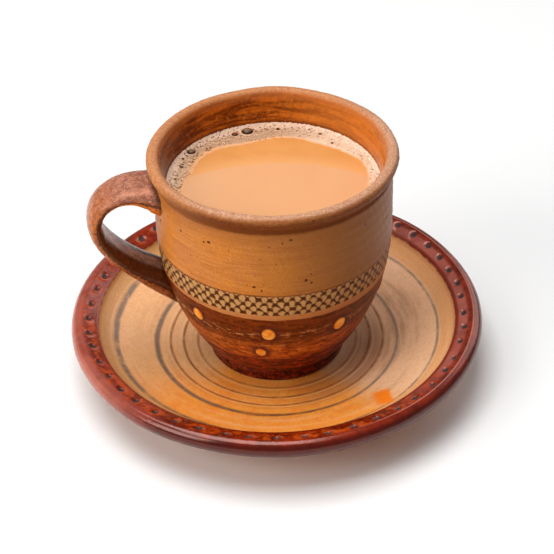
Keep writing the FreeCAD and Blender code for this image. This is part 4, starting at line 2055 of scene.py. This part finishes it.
@dataclass
class SoftLight:
    """One square soft lamp that looks at the cup.

    Attributes:
        name: its name.
        place: where it hangs, in metres.
        size: the length of its side, in metres.
        watts: its power.
        tint: its colour.
    """

    name: str
    place: tuple[float, float, float]
    size: float
    watts: float
    tint: tuple[float, float, float] = (1.0, 1.0, 1.0)

    def hang(self, target: Vector) -> None:
        """Adds the lamp, turned towards the target.

        Args:
            target: where it points, in metres.
        """
        lamp = bpy.data.lights.new(self.name, "AREA")
        lamp.shape = "SQUARE"
        lamp.size = self.size
        lamp.energy = self.watts
        lamp.color = self.tint
        thing = bpy.data.objects.new(self.name, lamp)
        thing.location = self.place
        thing.rotation_euler = (target - Vector(self.place)).to_track_quat("-Z", "Y").to_euler()
        bpy.context.scene.collection.objects.link(thing)


@dataclass
class Studio:
    """A pale floor, soft lamps, an even sky, and the camera.

    Attributes:
        camera_place, camera_target: where the camera stands and what it looks at, in metres.
        roll: how far it leans, in degrees.
        lens: its focal length in millimetres, on a sensor 36 mm wide.
        sky: strength of the even light from all round.
        lamps: the soft lamps.
    """

    camera_place: tuple[float, float, float] = (-0.0743, -0.4248, 0.36)
    camera_target: tuple[float, float, float] = (0.0005, -0.0001, 0.0349)
    roll: float = -1.48
    lens: float = 97.26
    sky: float = 0.2
    lamps: tuple[SoftLight, ...] = (
        SoftLight("key", (-0.90, -0.40, 0.66), 0.6, 6.5, (1.0, 0.98, 0.95)),
        SoftLight("top", (-0.2, 0.02, 1.07), 0.75, 11.0),
        SoftLight("back", (0.75, 0.6, 0.55), 0.7, 2.6),
    )

    def floor(self) -> None:
        """Lays a wide plain floor under the saucer."""
        half = 3000.0
        corners = np.array([(-half, -half, 0.0), (half, -half, 0.0), (half, half, 0.0), (-half, half, 0.0)])
        mesh = bpy.data.meshes.new("floor")
        mesh.from_pydata((corners * MM).tolist(), [], [(0, 1, 2, 3)])
        floor = bpy.data.objects.new("floor", mesh)
        floor.data.materials.append(PaleFloor().make())
        bpy.context.scene.collection.objects.link(floor)

    def camera(self) -> None:
        """Adds the camera, turned from its place to its target and then rolled about its view."""
        ahead = (Vector(self.camera_target) - Vector(self.camera_place)).normalized()
        right = ahead.cross(Vector((0.0, 0.0, 1.0))).normalized()
        up = right.cross(ahead)
        lean = math.radians(self.roll)
        side = right * math.cos(lean) + up * math.sin(lean)
        head = up * math.cos(lean) - right * math.sin(lean)
        turn = Matrix((side, head, -ahead)).transposed()
        camera = bpy.data.cameras.new("camera")
        camera.lens = self.lens
        camera.sensor_width = 36.0
        camera.clip_end = 20.0
        thing = bpy.data.objects.new("camera", camera)
        thing.matrix_world = Matrix.Translation(self.camera_place) @ turn.to_4x4()
        bpy.context.scene.collection.objects.link(thing)
        bpy.context.scene.camera = thing

    def build(self) -> None:
        """Lays the floor, hangs the lamps, lights the sky and adds the camera."""
        self.floor()
        for lamp in self.lamps:
            lamp.hang(Vector((0.0, 0.0, 0.04)))
        world = bpy.data.worlds.new("sky")
        world.use_nodes = True
        background = world.node_tree.nodes["Background"]
        background.inputs["Color"].default_value = (1.0, 1.0, 1.0, 1.0)
        background.inputs["Strength"].default_value = self.sky
        bpy.context.scene.world = world
        bpy.context.scene.view_settings.view_transform = "Standard"
        self.camera()


def main() -> None:
    """Builds the saucer, the cup and the drink where the frame has them, and then the studio."""
    logging.basicConfig(level=logging.INFO, format="%(name)s: %(message)s")
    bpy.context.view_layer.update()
    saucer_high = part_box("saucer")[1]
    saucer = Saucer(radius=saucer_high.x / MM)
    cup = Cup(foot=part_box("cup")[0].z / MM)
    froth_low, froth_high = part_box("froth")
    drink = Drink(cup, level=froth_low.z / MM, froth_top=froth_high.z / MM)
    pieces = [*saucer.build(), *cup.build(), *drink.build()]
    log.info("%d pieces", len(pieces))
    Studio().build()
    bpy.context.view_layer.update()


if __name__ == "__main__":
    main()
